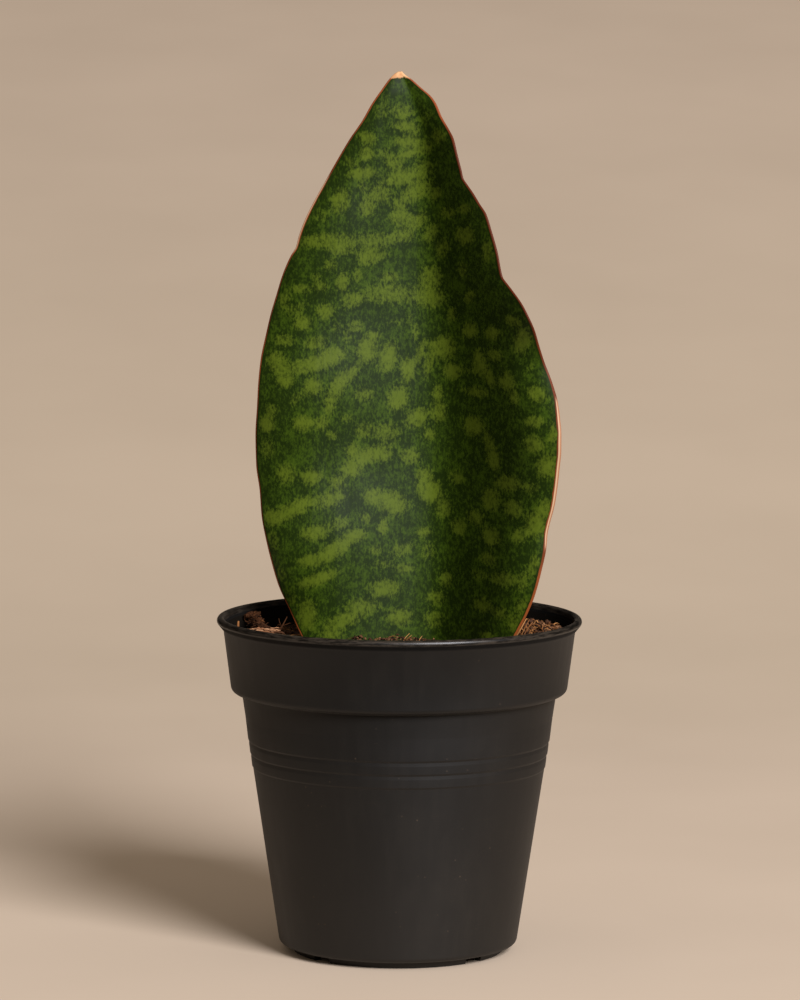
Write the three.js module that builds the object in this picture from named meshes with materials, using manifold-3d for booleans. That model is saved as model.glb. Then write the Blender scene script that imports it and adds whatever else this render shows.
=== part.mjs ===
// Potted snake plant: one broad channelled leaf in a black nursery pot of potting mix.
// Millimetres, +Z up, seen from the front along +Y. The origin is the centre of the pot's
// foot ring, on the surface that the pot stands on.

import * as THREE from 'three';
import { mergeVertices } from 'three/addons/utils/BufferGeometryUtils.js';
import Module from 'manifold-3d';

const wasm = await Module();
wasm.setup();

// ---- Driving dimensions ----

const GAP = 0.35; // clearance between pieces that touch
const FLAT_ALLOWANCE = 1.25; // makes up for the flats of a grown shape with few sides

// pot
const POT_HEIGHT = 138.3;
const RIM_RADIUS = 75;
const RIM_SECTION = [ // the rolled rim: in from the outermost circle, down from the top
  [1.3, 4.5], [0.4, 3.4], [0, 2.2], [0.2, 1], [0.9, 0.2], [1.8, 0], [2.7, 0.4], [3.2, 1.4],
];
const RIM_UNDERSIDE = 135; // where the inside of the wall meets the rim
const WALL = 1.4;
const FOOT_HEIGHT = 2.7;
const FOOT_OUTER = 43.4;
const FOOT_INNER = 40.6;
const FOOT_DRAFT = [1, 0.5]; // how far the foot ring widens upwards, outside and inside
const BASE_TOP = 4.3; // upper face of the pot's floor
const BASE_CORNER = [[46.6, 3.1], [48.2, 4.6], [49.2, 7]]; // radius, height
const BASE_CORNER_TOP = 11;
const BASE_INSIDE = [[47.2, 7], [44.5, BASE_TOP]];
const BASE_INSIDE_TOP = 12;
const BODY_FOOT_RADIUS = 48.5; // the straight wall, carried down to z = 0
const BODY_TAPER = 0.1515; // radius gained for each mm of height
const STEP_Z = 107.1; // where the wall turns out to the collar
const STEP_CORNER = [[66.6, 107.9], [68.3, 109.5], [69.3, 111.3]];
const STEP_INSIDE = [[67, 110.6], [65, 109]];
const COLLAR_Z = 113;
const COLLAR_RADIUS = 69.6;
const COLLAR_TAPER = 0.135;
const COLLAR_TOP_Z = 132.8;
const COLLAR_INSIDE_Z = 114;
const RING_HEIGHTS = [76.1, 81.6, 87.1]; // lower lips of the three rings
const RING_SECTION = [[0, 0], [0.55, 0.5], [0.33, 4]]; // out from the wall, up from the lip
const RING_CLEAR_Z = 96; // the wall is plain again from here
const POT_SIDES = 60;
const NOTCH_COUNT = 4;
const NOTCH_WIDTH = 8.6;
const NOTCH_LENGTH = 8;
const NOTCH_ROOF = 0.1; // left between a notch and the pot's floor
const DRAIN_COUNT = 8; // in a circle, with one more in the middle
const DRAIN_RADIUS = 4;
const DRAIN_CIRCLE = 30;
const DRAIN_SIDES = 16;

// leaf: margins, fold and thickness by height
const LEFT_MARGIN = [
  [57, -15], [66, -15.5], [79, -17], [93, -21], [107, -27.5], [120, -35.2], [129.2, -40.6],
  [139.7, -45.6], [149.5, -50.1], [159, -52.9], [168, -55.1], [178.4, -57.1], [188.7, -58],
  [199, -59.5], [211, -59.8], [223.8, -59.1], [232, -58.7], [242.4, -57.7], [252.7, -55.6],
  [261, -53.7], [269.2, -51.3], [277.4, -48.8], [285.2, -45.5], [288.9, -43.3], [293.5, -42.1],
  [300, -39.7], [308.3, -35.6], [316.6, -31], [324.8, -26.4], [333, -21.6], [341.2, -16.1],
  [347.8, -12.4], [353.5, -8.5], [358, -5.2], [360.3, -2.9], [361.1, -1.5],
];
const RIGHT_MARGIN = [
  [57, 17], [66, 17.5], [79, 20], [93, 26], [107, 33.5], [120, 40.5], [134.3, 47.6],
  [144.7, 52.4], [151.4, 54.8], [163, 57.7], [170.5, 59.2], [176.5, 59.7], [179.9, 60.4],
  [188.6, 62.5], [196, 63.5], [203.3, 64.2], [211, 64.8], [217, 64.8], [223, 64.3],
  [230.2, 63.3], [237.4, 61.2], [246.3, 57.8], [252.5, 55.8], [259.1, 53.8], [264.4, 51.4],
  [269.5, 48.6], [274.1, 45.2], [277.1, 42.8], [279.2, 41.2], [282.2, 40.4], [288.6, 39.2],
  [298.1, 36.5], [304.5, 34.4], [308.4, 31.8], [312.3, 29.4], [316.2, 26.6], [318.3, 25.2],
  [321.3, 24.5], [327.8, 22.8], [334.2, 21.2], [338.6, 18.9], [343, 16.3], [348.2, 14],
  [351, 12], [354.6, 7.8], [357.7, 4.3], [360.3, 0.7], [361.1, 0.1],
];
const LEAF_HEIGHTS = [
  57, 66, 79, 93, 107, 120, 131, 140, 151, 159, 168, 176.5, 180, 188.7, 199, 211, 223, 231,
  239, 246.3, 253, 261, 266, 270, 274.1, 279.2, 283, 288.9, 295, 301.5, 308.4, 314, 318.3,
  323, 329, 334.2, 339, 343.5, 348, 351, 355, 358, 361.1,
];
const LEAF_FOLD = [
  [57, 2], [133.5, 16], [215, 18], [250, 17], [288, 12.4], [337, 8.7], [352, 4], [361.1, -0.6],
];
const LEAF_LEAN = [[57, 11], [133.5, 10], [210, 15], [300, 18], [361.1, 17]];
const LEAF_CORE = [[57, 7], [133.5, 4], [210, 3.2], [320, 2.4], [361.1, 1.6]];
const LEAF_EDGE = 0.9; // thickness at the margins
const LEAF_COLUMNS = [0, 0.12, 0.28, 0.46, 0.66, 0.84, 1]; // shares of the way to a margin

// leaf section: angles in degrees, lengths as shares of a wing's width
// by height, how far the channel is turned to open towards the viewer's left, and how steeply
// each wing rises from the fold: towards the tip the leaf untwists and flattens out
const LEAF_TURN = [[57, 22], [330, 22], [340, 19], [345, 15], [349, 11], [353, 6], [361.1, 6]];
const WING_RISE = [[57, 38], [330, 38], [340, 35], [345, 31], [349, 27], [353, 22], [361.1, 22]];
const FOLD_SHARE = 0.13; // how gently the fold is rounded
const LEFT_FLARE_START = 0.35; // from here out the wing bends back again
const RIGHT_FLARE_START = 0.58;
const LEFT_FLARE = [[57, 0], [100, 10], [150, 58], [300, 50], [361.1, 30]];
const RIGHT_FLARE = [[57, 0], [100, 10], [150, 58], [238, 58], [266, 12], [361.1, 8]];
const SECTION_STEPS = 50;
const WAVE_LENGTH = 62;
const WAVE_SHARE = 0.022; // depth of the margins' waves as a share of a wing's width
const RIGHT_WAVE_PHASE = 2;

// rhizome, lying along X under the leaf
const RHIZOME_RADIUS = 9.5;
const RHIZOME_CENTRE = new THREE.Vector3(2, 6, 52);
const RHIZOME_LENGTH = 54;
const RHIZOME_SIDES = 12;
const SCALE_RINGS = 5;
const SCALE_STEP = 1.2;
const SCALE_SHARE = 0.7; // of a ring's length that its scale covers
const NECK_SHARE = 0.6; // radius of the neck before the growing tip
const NECK_LENGTH = 3;
const TIP_LENGTH = 10;
const ROOT_COUNT = 9;
const ROOT_RADIUS = 1.7;
const ROOT_STEPS = 6;
const ROOT_SIDES = 5;
const ROOT_SPREAD = 38; // of the stem's length that carries roots
const ROOT_TURN = 0.382; // of a full turn from each root to the next
const KNEE_REACH = [28, 38]; // distance of a root's knee from the pot's axis
const KNEE_Z = [18, 24];
const ROOT_MIDDLE_Z = [32, 38];
const ROOT_MIDDLE_SHARE = 0.6;
const ROOT_DROP = new THREE.Vector3(2, -2, -9); // from the knee to the end

// bark and wood lying on the mix
const BARK_FOOT = new THREE.Vector3(-57, 21, 129.6);
const BARK_STEP = new THREE.Vector3(-2, 3.2, 2.5); // from each lump to the next, up the wall
const BARK_LUMP = new THREE.Vector3(3.4, 2.9, 3.1);
const BARK_LUMPS = 3;
const BARK_ALLOWANCE = 1.6; // as FLAT_ALLOWANCE, for the lumps' wide faces
const SPLINTER_ROOT = new THREE.Vector3(-61.5, 3, 130.6);
const SPLINTER_ENDS = [[-45.5, -5, 129.9], [-49, 1.2, 130.6], [-52, -3.6, 131.4]];
const SPLINTER_RADII = [1.3, 0.5];
const SPLINTER_ARCH = 0.7;
const SPLINTER_STEPS = 4;
const SPLINTER_SIDES = 5;
const LUMP_REACH = [0.75, 1.15]; // how far a lump's corners are pushed in and out

// soil
const SOIL_LEVEL = 129.2;
const SOIL_RINGS = 9;
const SOIL_SIDES = 40;
const SOIL_BASE = [[43.95, BASE_TOP + GAP], [46.55, 7.2]];
const SOIL_STEP = [[64.5, 109.3], [66.6, 111.1]];
const SOIL_COLLAR_Z = 114.2;
const SOIL_WALL_TOP = 122; // from here the mix draws in from the wall to its top
const SOIL_TOP_INSET = 0.2;
const SOIL_RISES = [ // centre x, centre y, height and spread of each rise or hollow
  [56, 8, 2.4, 420], [-4, 3, 0.8, 150], [-52, 30, -2, 500], [-31, -4, -1.6, 220],
];
const CRUMB_COUNT = 38;
const CRUMB_SIZE = [1.4, 3.6];
const CRUMB_SHAPE = new THREE.Vector3(1, 0.8, 0.7);
const CRUMB_CLEAR = 7; // least distance of a crumb's centre from the wall
const FIBRE_COUNT = 24;
const FIBRE_AREA = { x: [-60, 60], y: [-60, 60] };
const FIBRE_LIFT = 1;
const HEAP_FIBRES = 12;
const HEAP_AREA = { x: [52, 64], y: [-8, 22] }; // where the coir lies heaped, at the right
const HEAP_LIFT = 3;
const FIBRE_LENGTH = [6, 16];
const FIBRE_RADII = [0.6, 0.4];
const FIBRE_ROOTING = 1.2; // depth of a fibre's start in the mix
const FIBRE_CLEAR = 3;

// ---- Helpers ----

// Repeatable random numbers from 0 to 1.
function seeded(seed) {
  let state = seed;
  return () => {
    state = (state * 1664525 + 1013904223) % 4294967296;
    return state / 4294967296;
  };
}

// A value between low and high.
function between([low, high], share) {
  return THREE.MathUtils.lerp(low, high, share);
}

// Straight-line reading of a table of [place, value] pairs.
function along(table, place) {
  const last = table.length - 1;
  let i = 0;
  while (i < last - 1 && place > table[i + 1][0]) {
    i += 1;
  }
  const [z0, v0] = table[i];
  const [z1, v1] = table[i + 1];
  const share = THREE.MathUtils.clamp((place - z0) / (z1 - z0), 0, 1);
  return THREE.MathUtils.lerp(v0, v1, share);
}

// A closed geometry as a solid that can be joined and cut.
function toSolid(geometry) {
  geometry.deleteAttribute('normal');
  geometry.deleteAttribute('uv');
  const merged = mergeVertices(geometry, 1e-4);
  const index = merged.index.array;
  const triangles = [];
  for (let i = 0; i < index.length; i += 3) {
    const [a, b, c] = [index[i], index[i + 1], index[i + 2]];
    if (a !== b && b !== c && c !== a) {
      triangles.push(a, b, c);
    }
  }
  return new wasm.Manifold(new wasm.Mesh({
    numProp: 3,
    vertProperties: new Float32Array(merged.attributes.position.array),
    triVerts: new Uint32Array(triangles),
  }));
}

function toGeometry(solid) {
  const mesh = solid.getMesh();
  const geometry = new THREE.BufferGeometry();
  geometry.setAttribute('position', new THREE.BufferAttribute(mesh.vertProperties, 3));
  geometry.setIndex(new THREE.BufferAttribute(mesh.triVerts, 1));
  geometry.computeVertexNormals();
  return geometry;
}

function joined(solids) {
  return solids.reduce((whole, piece) => whole.add(piece));
}

function revolve(pairs, sides) {
  const profile = pairs.map(([r, z]) => new THREE.Vector2(r, z));
  return new THREE.LatheGeometry(profile, sides).rotateX(Math.PI / 2);
}

// A tube along a curve that narrows from one radius to another, with closed ends. Grown tubes
// are thicker all round and run on past both ends.
function taperedTube(curve, radii, steps, sides, grow = 0) {
  const frames = curve.computeFrenetFrames(steps, false);
  const positions = [];
  const index = [];
  for (let i = 0; i <= steps; i += 1) {
    const centre = curve.getPointAt(i / steps);
    if (i === 0 || i === steps) {
      centre.addScaledVector(frames.tangents[i], i === 0 ? -grow : grow);
    }
    const radius = between(radii, i / steps) + grow * FLAT_ALLOWANCE;
    for (let j = 0; j < sides; j += 1) {
      const angle = (2 * Math.PI * j) / sides;
      const offset = frames.normals[i].clone().multiplyScalar(radius * Math.cos(angle));
      offset.addScaledVector(frames.binormals[i], radius * Math.sin(angle));
      positions.push(...centre.clone().add(offset));
    }
  }
  for (let i = 0; i < steps; i += 1) {
    for (let j = 0; j < sides; j += 1) {
      const a = i * sides + j;
      const b = i * sides + ((j + 1) % sides);
      index.push(a, b, a + sides, b, b + sides, a + sides);
    }
  }
  const end = steps * sides;
  for (let j = 1; j < sides - 1; j += 1) {
    index.push(0, j + 1, j);
    index.push(end, end + j, end + j + 1);
  }
  const geometry = new THREE.BufferGeometry();
  geometry.setAttribute('position', new THREE.Float32BufferAttribute(positions, 3));
  geometry.setIndex(index);
  return toSolid(geometry);
}

// A rough lump: an icosahedron with its corners pushed in and out.
function lump(centre, size, random) {
  const geometry = new THREE.IcosahedronGeometry(1, 0);
  geometry.deleteAttribute('normal');
  geometry.deleteAttribute('uv');
  const shape = mergeVertices(geometry);
  const position = shape.attributes.position;
  for (let i = 0; i < position.count; i += 1) {
    const reach = between(LUMP_REACH, random());
    position.setXYZ(i, position.getX(i) * reach, position.getY(i) * reach, position.getZ(i) * reach);
  }
  shape.scale(size.x, size.y, size.z);
  shape.rotateZ(Math.PI * random());
  shape.translate(centre.x, centre.y, centre.z);
  return toSolid(shape);
}

// ---- Pot ----

function bodyRadius(z) {
  return BODY_FOOT_RADIUS + BODY_TAPER * z;
}

function collarRadius(z) {
  return COLLAR_RADIUS + COLLAR_TAPER * (z - COLLAR_Z);
}

// Radius of the inside of the wall at a height.
function innerRadius(z) {
  if (z > COLLAR_Z) {
    return collarRadius(z) - WALL;
  }
  return bodyRadius(Math.min(z, STEP_Z)) - WALL;
}

// The outside, from the foot ring up to the root of the rim.
function outerProfile() {
  const [draftOutside, draftInside] = FOOT_DRAFT;
  const points = [
    [FOOT_INNER - draftInside, FOOT_HEIGHT],
    [FOOT_INNER, 0],
    [FOOT_OUTER, 0],
    [FOOT_OUTER + draftOutside, FOOT_HEIGHT],
    ...BASE_CORNER,
    [bodyRadius(BASE_CORNER_TOP), BASE_CORNER_TOP],
  ];
  for (const lip of RING_HEIGHTS) {
    for (const [out, up] of RING_SECTION) {
      points.push([bodyRadius(lip + up) + out, lip + up]);
    }
  }
  points.push([bodyRadius(RING_CLEAR_Z), RING_CLEAR_Z]);
  points.push([bodyRadius(STEP_Z), STEP_Z]);
  points.push(...STEP_CORNER);
  points.push([COLLAR_RADIUS, COLLAR_Z]);
  points.push([collarRadius(COLLAR_TOP_Z), COLLAR_TOP_Z]);
  return points;
}

// The rolled rim, over the top from outside to inside.
function rimProfile() {
  return RIM_SECTION.map(([inwards, down]) => [RIM_RADIUS - inwards, POT_HEIGHT - down]);
}

// The inside, from the rim down to the pot's floor.
function innerProfile() {
  return [
    [innerRadius(RIM_UNDERSIDE), RIM_UNDERSIDE],
    [innerRadius(COLLAR_INSIDE_Z), COLLAR_INSIDE_Z],
    ...STEP_INSIDE,
    [innerRadius(STEP_Z), STEP_Z],
    [innerRadius(BASE_INSIDE_TOP), BASE_INSIDE_TOP],
    ...BASE_INSIDE,
  ];
}

function makePot() {
  const profile = [
    [0, FOOT_HEIGHT],
    ...outerProfile(),
    ...rimProfile(),
    ...innerProfile(),
    [0, BASE_TOP],
  ];
  const shell = toSolid(revolve(profile, POT_SIDES));
  const cutters = [];
  const notchHeight = 2 * (FOOT_HEIGHT - NOTCH_ROOF);
  for (let i = 0; i < NOTCH_COUNT; i += 1) {
    const notch = new THREE.BoxGeometry(NOTCH_LENGTH, NOTCH_WIDTH, notchHeight);
    notch.translate((FOOT_INNER + FOOT_OUTER) / 2, 0, 0);
    notch.rotateZ((Math.PI * 2 * (i + 0.5)) / NOTCH_COUNT);
    cutters.push(toSolid(notch));
  }
  for (let i = 0; i <= DRAIN_COUNT; i += 1) {
    const drain = new THREE.CylinderGeometry(DRAIN_RADIUS, DRAIN_RADIUS, 2 * BASE_TOP, DRAIN_SIDES);
    drain.rotateX(Math.PI / 2);
    const circle = i < DRAIN_COUNT ? DRAIN_CIRCLE : 0;
    const angle = (Math.PI * 2 * (i + 0.5)) / DRAIN_COUNT;
    drain.translate(circle * Math.cos(angle), circle * Math.sin(angle), BASE_TOP);
    cutters.push(toSolid(drain));
  }
  return shell.subtract(joined(cutters));
}

// ---- Leaf ----

// How far a wing is turned from the plane across the view, at a share of the way from the fold
// to its margin. side is -1 for the left wing and 1 for the right.
function wingTurn(side, z, share) {
  const flare = along(side < 0 ? LEFT_FLARE : RIGHT_FLARE, z);
  const start = side < 0 ? LEFT_FLARE_START : RIGHT_FLARE_START;
  const beyond = Math.max(0, (share - start) / (1 - start));
  const rise = (along(WING_RISE, z) * share) / Math.hypot(share, FOLD_SHARE);
  return THREE.MathUtils.degToRad(rise - flare * beyond ** 2 + side * along(LEAF_TURN, z));
}

// Walks out along a wing of width 1: how far each step lies across and forward of the fold.
function wingLine(side, z) {
  const line = [[0, 0]];
  for (let i = 0; i < SECTION_STEPS; i += 1) {
    const turn = wingTurn(side, z, (i + 0.5) / SECTION_STEPS);
    const [across, forward] = line[i];
    line.push([across + Math.cos(turn) / SECTION_STEPS, forward + Math.sin(turn) / SECTION_STEPS]);
  }
  return line;
}

// Half of the leaf at a height, from the fold out to a margin: for each column a point of its
// middle surface, the way that its front faces and its thickness.
function leafWing(side, z, grow) {
  const line = wingLine(side, z);
  const margin = along(side < 0 ? LEFT_MARGIN : RIGHT_MARGIN, z) + side * grow;
  const fold = along(LEAF_FOLD, z);
  const lean = along(LEAF_LEAN, z);
  const width = Math.abs(margin - fold) / line[SECTION_STEPS][0];
  const phase = side < 0 ? 0 : RIGHT_WAVE_PHASE;
  const wave = WAVE_SHARE * width * Math.sin((2 * Math.PI * z) / WAVE_LENGTH + phase);
  return LEAF_COLUMNS.map((share) => {
    const [across, forward] = line[Math.round(share * SECTION_STEPS)];
    const x = fold + side * across * width;
    const y = lean - forward * width + wave * share ** 2;
    const turn = wingTurn(side, z, share);
    return {
      point: new THREE.Vector3(x, y, z),
      facing: new THREE.Vector3(-side * Math.sin(turn), -Math.cos(turn), 0),
      thickness: between([along(LEAF_CORE, z), LEAF_EDGE], share ** 2) + 2 * grow * FLAT_ALLOWANCE,
    };
  });
}

// The leaf as one closed solid, split into triangles alike on both faces. A grown leaf is
// wider and thicker and reaches further down.
function leafSolid(grow) {
  const front = [];
  const back = [];
  const [foot, ...heights] = LEAF_HEIGHTS;
  for (const z of [foot - grow, ...heights]) {
    const row = [...leafWing(-1, z, grow).reverse(), ...leafWing(1, z, grow).slice(1)];
    for (const { point, facing, thickness } of row) {
      front.push(...point.clone().addScaledVector(facing, thickness / 2));
      back.push(...point.clone().addScaledVector(facing, -thickness / 2));
    }
  }
  const count = 2 * LEAF_COLUMNS.length - 1;
  const rows = LEAF_HEIGHTS.length;
  const offset = count * rows;
  const index = [];
  const quad = (a, b, c, d) => index.push(a, b, c, a, c, d);
  for (let i = 0; i < rows - 1; i += 1) {
    for (let j = 0; j < count - 1; j += 1) {
      const a = i * count + j;
      quad(a, a + 1, a + count + 1, a + count);
      index.push(a + offset, a + offset + count + 1, a + offset + 1);
      index.push(a + offset, a + offset + count, a + offset + count + 1);
    }
    const l = i * count;
    const r = l + count - 1;
    quad(l, l + count, l + count + offset, l + offset);
    quad(r, r + offset, r + count + offset, r + count);
  }
  const top = (rows - 1) * count;
  for (let j = 0; j < count - 1; j += 1) {
    quad(j, j + offset, j + 1 + offset, j + 1);
    quad(top + j, top + j + 1, top + j + 1 + offset, top + j + offset);
  }
  const geometry = new THREE.BufferGeometry();
  geometry.setAttribute('position', new THREE.Float32BufferAttribute([...front, ...back], 3));
  geometry.setIndex(index);
  return toSolid(geometry);
}

// ---- Rhizome ----

// The thick stem with its scale rings and a pointed growing tip.
function stemSolid(grow) {
  const half = RHIZOME_LENGTH / 2;
  const pitch = RHIZOME_LENGTH / SCALE_RINGS;
  const profile = [new THREE.Vector2(0, -half - grow)];
  for (let i = 0; i < SCALE_RINGS; i += 1) {
    const place = -half + pitch * i;
    profile.push(new THREE.Vector2(RHIZOME_RADIUS - SCALE_STEP + grow, place - grow));
    profile.push(new THREE.Vector2(RHIZOME_RADIUS + grow, place + pitch * SCALE_SHARE));
  }
  profile.push(new THREE.Vector2(RHIZOME_RADIUS * NECK_SHARE + grow, half + NECK_LENGTH));
  profile.push(new THREE.Vector2(0, half + TIP_LENGTH + grow * 2));
  const stem = new THREE.LatheGeometry(profile, RHIZOME_SIDES).rotateZ(-Math.PI / 2);
  stem.translate(RHIZOME_CENTRE.x, RHIZOME_CENTRE.y, RHIZOME_CENTRE.z);
  return toSolid(stem);
}

// The stem with its roots, which spread out and turn down at their ends.
function rhizomeSolid(grow) {
  const pieces = [stemSolid(grow)];
  const random = seeded(7);
  for (let i = 0; i < ROOT_COUNT; i += 1) {
    const angle = Math.PI * 2 * ((i * ROOT_TURN) % 1);
    const start = RHIZOME_CENTRE.clone();
    start.x += (i / (ROOT_COUNT - 1) - 0.5) * ROOT_SPREAD;
    const reach = between(KNEE_REACH, random());
    const kneeZ = between(KNEE_Z, 1 - random());
    const knee = new THREE.Vector3(reach * Math.cos(angle), reach * Math.sin(angle), kneeZ);
    const middleZ = between(ROOT_MIDDLE_Z, 1 - random());
    const middle = start.clone().lerp(knee, ROOT_MIDDLE_SHARE).setZ(middleZ);
    const curve = new THREE.CatmullRomCurve3([start, middle, knee, knee.clone().add(ROOT_DROP)]);
    pieces.push(taperedTube(curve, [ROOT_RADIUS, ROOT_RADIUS / 2], ROOT_STEPS, ROOT_SIDES, grow));
  }
  return joined(pieces);
}

// ---- Loose pieces on the mix ----

// A lump of bark in rough pieces, leaning up the wall at the left back.
function barkChip(grow) {
  const random = seeded(21);
  const size = BARK_LUMP.clone().addScalar(grow * BARK_ALLOWANCE);
  const pieces = [];
  for (let i = 0; i < BARK_LUMPS; i += 1) {
    const centre = BARK_FOOT.clone().addScaledVector(BARK_STEP, i);
    pieces.push(lump(centre, size, random));
  }
  return joined(pieces);
}

// A frayed splinter: slivers that start together and part.
function woodSplinter(grow) {
  const slivers = SPLINTER_ENDS.map((place) => {
    const end = new THREE.Vector3(...place);
    const middle = SPLINTER_ROOT.clone().lerp(end, 0.5);
    middle.z += SPLINTER_ARCH;
    const curve = new THREE.CatmullRomCurve3([SPLINTER_ROOT, middle, end]);
    return taperedTube(curve, SPLINTER_RADII, SPLINTER_STEPS, SPLINTER_SIDES, grow);
  });
  return joined(slivers);
}

// ---- Soil ----

// Height of the top of the mix: heaped on the right and in the leaf's channel, hollow at the
// left back and in front of the leaf's left wing.
function soilHeight(x, y) {
  const rough = 0.7 * Math.sin(x * 0.31 + 1) * Math.cos(y * 0.27) + 0.5 * Math.sin(x * 0.7 + y * 0.6);
  const rises = SOIL_RISES.map(([centreX, centreY, height, spread]) => (
    height * Math.exp(-((x - centreX) ** 2 + (y - centreY) ** 2) / spread)
  ));
  return rises.reduce((total, rise) => total + rise, SOIL_LEVEL + rough);
}

// The block of mix, with its rough top still bare of crumbs.
function soilBlock() {
  const edge = (z) => innerRadius(z) - GAP;
  const wall = [
    [0, BASE_TOP + GAP],
    ...SOIL_BASE,
    [edge(BASE_INSIDE_TOP), BASE_INSIDE_TOP],
    [edge(STEP_Z), STEP_Z],
    ...SOIL_STEP,
    [edge(SOIL_COLLAR_Z), SOIL_COLLAR_Z],
    [edge(SOIL_WALL_TOP), SOIL_WALL_TOP],
  ];
  const reach = edge(SOIL_LEVEL) - SOIL_TOP_INSET;
  for (let i = 0; i < SOIL_RINGS; i += 1) {
    wall.push([reach * (1 - i / SOIL_RINGS), SOIL_LEVEL]);
  }
  wall.push([0, SOIL_LEVEL]);
  const geometry = revolve(wall, SOIL_SIDES);
  const position = geometry.attributes.position;
  for (let i = 0; i < position.count; i += 1) {
    if (position.getZ(i) > (SOIL_WALL_TOP + SOIL_LEVEL) / 2) {
      position.setZ(i, soilHeight(position.getX(i), position.getY(i)));
    }
  }
  return toSolid(geometry);
}

// True for a place on the mix at least clear millimetres from the wall.
function inside(x, y, clear) {
  return Math.hypot(x, y) < innerRadius(SOIL_LEVEL) - clear;
}

// Crumbs of the mix, half sunk in its top.
function crumbs(random) {
  const reach = innerRadius(SOIL_LEVEL);
  const pieces = [];
  while (pieces.length < CRUMB_COUNT) {
    const x = between([-reach, reach], random());
    const y = between([-reach, reach], random());
    if (inside(x, y, CRUMB_CLEAR)) {
      const size = CRUMB_SHAPE.clone().multiplyScalar(between(CRUMB_SIZE, random()));
      pieces.push(lump(new THREE.Vector3(x, y, soilHeight(x, y)), size, random));
    }
  }
  return pieces;
}

// A fibre that leaves the mix, rises and comes down or points up at its end.
function fibre(x, y, length, lift, turn) {
  const start = new THREE.Vector3(x, y, soilHeight(x, y) - FIBRE_ROOTING);
  const way = new THREE.Vector3(Math.cos(turn), Math.sin(turn), 0);
  const middle = start.clone().addScaledVector(way, length / 2);
  middle.z += 1 + lift * 0.6;
  const end = start.clone().addScaledVector(way, length);
  end.z += lift;
  return taperedTube(new THREE.CatmullRomCurve3([start, middle, end]), FIBRE_RADII, 3, 3);
}

// Fibres that start within an area, with both their ends clear of the wall.
function fibres(random, count, area, lift) {
  const pieces = [];
  while (pieces.length < count) {
    const x = between(area.x, random());
    const y = between(area.y, random());
    const turn = random() * Math.PI * 2;
    const length = between(FIBRE_LENGTH, random());
    const endX = x + length * Math.cos(turn);
    const endY = y + length * Math.sin(turn);
    if (inside(x, y, FIBRE_CLEAR) && inside(endX, endY, FIBRE_CLEAR)) {
      pieces.push(fibre(x, y, length, lift * random(), turn));
    }
  }
  return pieces;
}

function makeSoil() {
  const random = seeded(5);
  const litter = [
    ...crumbs(random),
    ...fibres(random, FIBRE_COUNT, FIBRE_AREA, FIBRE_LIFT),
    ...fibres(random, HEAP_FIBRES, HEAP_AREA, HEAP_LIFT),
  ];
  return soilBlock()
    .add(joined(litter))
    .subtract(leafSolid(GAP))
    .subtract(rhizomeSolid(GAP))
    .subtract(barkChip(GAP))
    .subtract(woodSplinter(GAP));
}

// ---- Assembly ----

function part(name, solid, color, roughness) {
  const material = new THREE.MeshStandardMaterial({ color, roughness, metalness: 0 });
  const mesh = new THREE.Mesh(toGeometry(solid), material);
  mesh.name = name;
  return mesh;
}

const plant = new THREE.Group();
plant.add(part('pot', makePot(), 0x26221f, 0.5));
plant.add(part('soil', makeSoil(), 0x3a2a1e, 0.95));
plant.add(part('rhizome', rhizomeSolid(0), 0xb9824c, 0.7));
plant.add(part('leaf', leafSolid(0).subtract(rhizomeSolid(GAP)), 0x33501c, 0.42));
plant.add(part('bark_chip', barkChip(0), 0x4a3220, 0.9));
plant.add(part('wood_splinter', woodSplinter(0), 0xc79a6e, 0.8));

export default plant;
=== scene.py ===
"""Potted snake plant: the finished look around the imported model.

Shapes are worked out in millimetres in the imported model's frame (origin at the centre of
the foot ring, +Z up, seen from the front along +Y) and become metres when a mesh is made.
"""

import math
import random

import bmesh
import bpy
import numpy as np
from mathutils import Matrix, Vector, noise


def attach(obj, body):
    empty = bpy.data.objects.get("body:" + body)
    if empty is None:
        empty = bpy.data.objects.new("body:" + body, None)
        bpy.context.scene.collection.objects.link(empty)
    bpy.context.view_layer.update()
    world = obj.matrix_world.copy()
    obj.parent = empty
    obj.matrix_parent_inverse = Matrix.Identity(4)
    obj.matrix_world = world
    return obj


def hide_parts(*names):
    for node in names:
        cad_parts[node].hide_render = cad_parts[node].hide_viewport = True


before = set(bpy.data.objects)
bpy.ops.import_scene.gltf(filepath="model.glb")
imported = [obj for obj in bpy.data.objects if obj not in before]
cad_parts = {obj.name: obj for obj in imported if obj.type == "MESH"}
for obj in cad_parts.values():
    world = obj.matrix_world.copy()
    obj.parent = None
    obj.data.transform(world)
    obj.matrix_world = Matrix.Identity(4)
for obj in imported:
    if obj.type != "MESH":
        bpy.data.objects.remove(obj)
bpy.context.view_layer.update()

MM = 0.001

# ---- Driving dimensions, in millimetres ----

# pot
POT_HEIGHT = 138.3
WALL = 1.4
FOOT_HEIGHT = 2.7
FOOT_OUTER = 43.4
FOOT_INNER = 40.6
FOOT_DRAFT = (1, 0.5)  # how far the foot ring widens upwards, outside and inside
FOOT_RISE = 0.2  # the outside of the foot ring ends this much above the pot's underside
BASE_TOP = 4.3  # upper face of the pot's floor
BASE_CORNER_Z = 3
BASE_INSIDE_Z = 8
BASE_INSIDE_STEP = 2.6
BODY_FOOT_RADIUS = 48.5  # the straight wall, carried down to z = 0
BODY_TAPER = 0.1515  # radius gained for each mm of height
STEP_Z = 107.1  # where the wall turns out to the collar
STEP_CORNER_RADIUS = 69
STEP_CORNER_RISE = 0.6
STEP_INSIDE = (65.4, 109.4)  # radius, height
COLLAR_Z = 113
COLLAR_RADIUS = 69.6
COLLAR_TAPER = 0.135
COLLAR_TOP_Z = 132.8
RIM_UNDERSIDE = 134.6  # where the inside of the wall meets the rim
BEAD_RADIUS = 1.6
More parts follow.
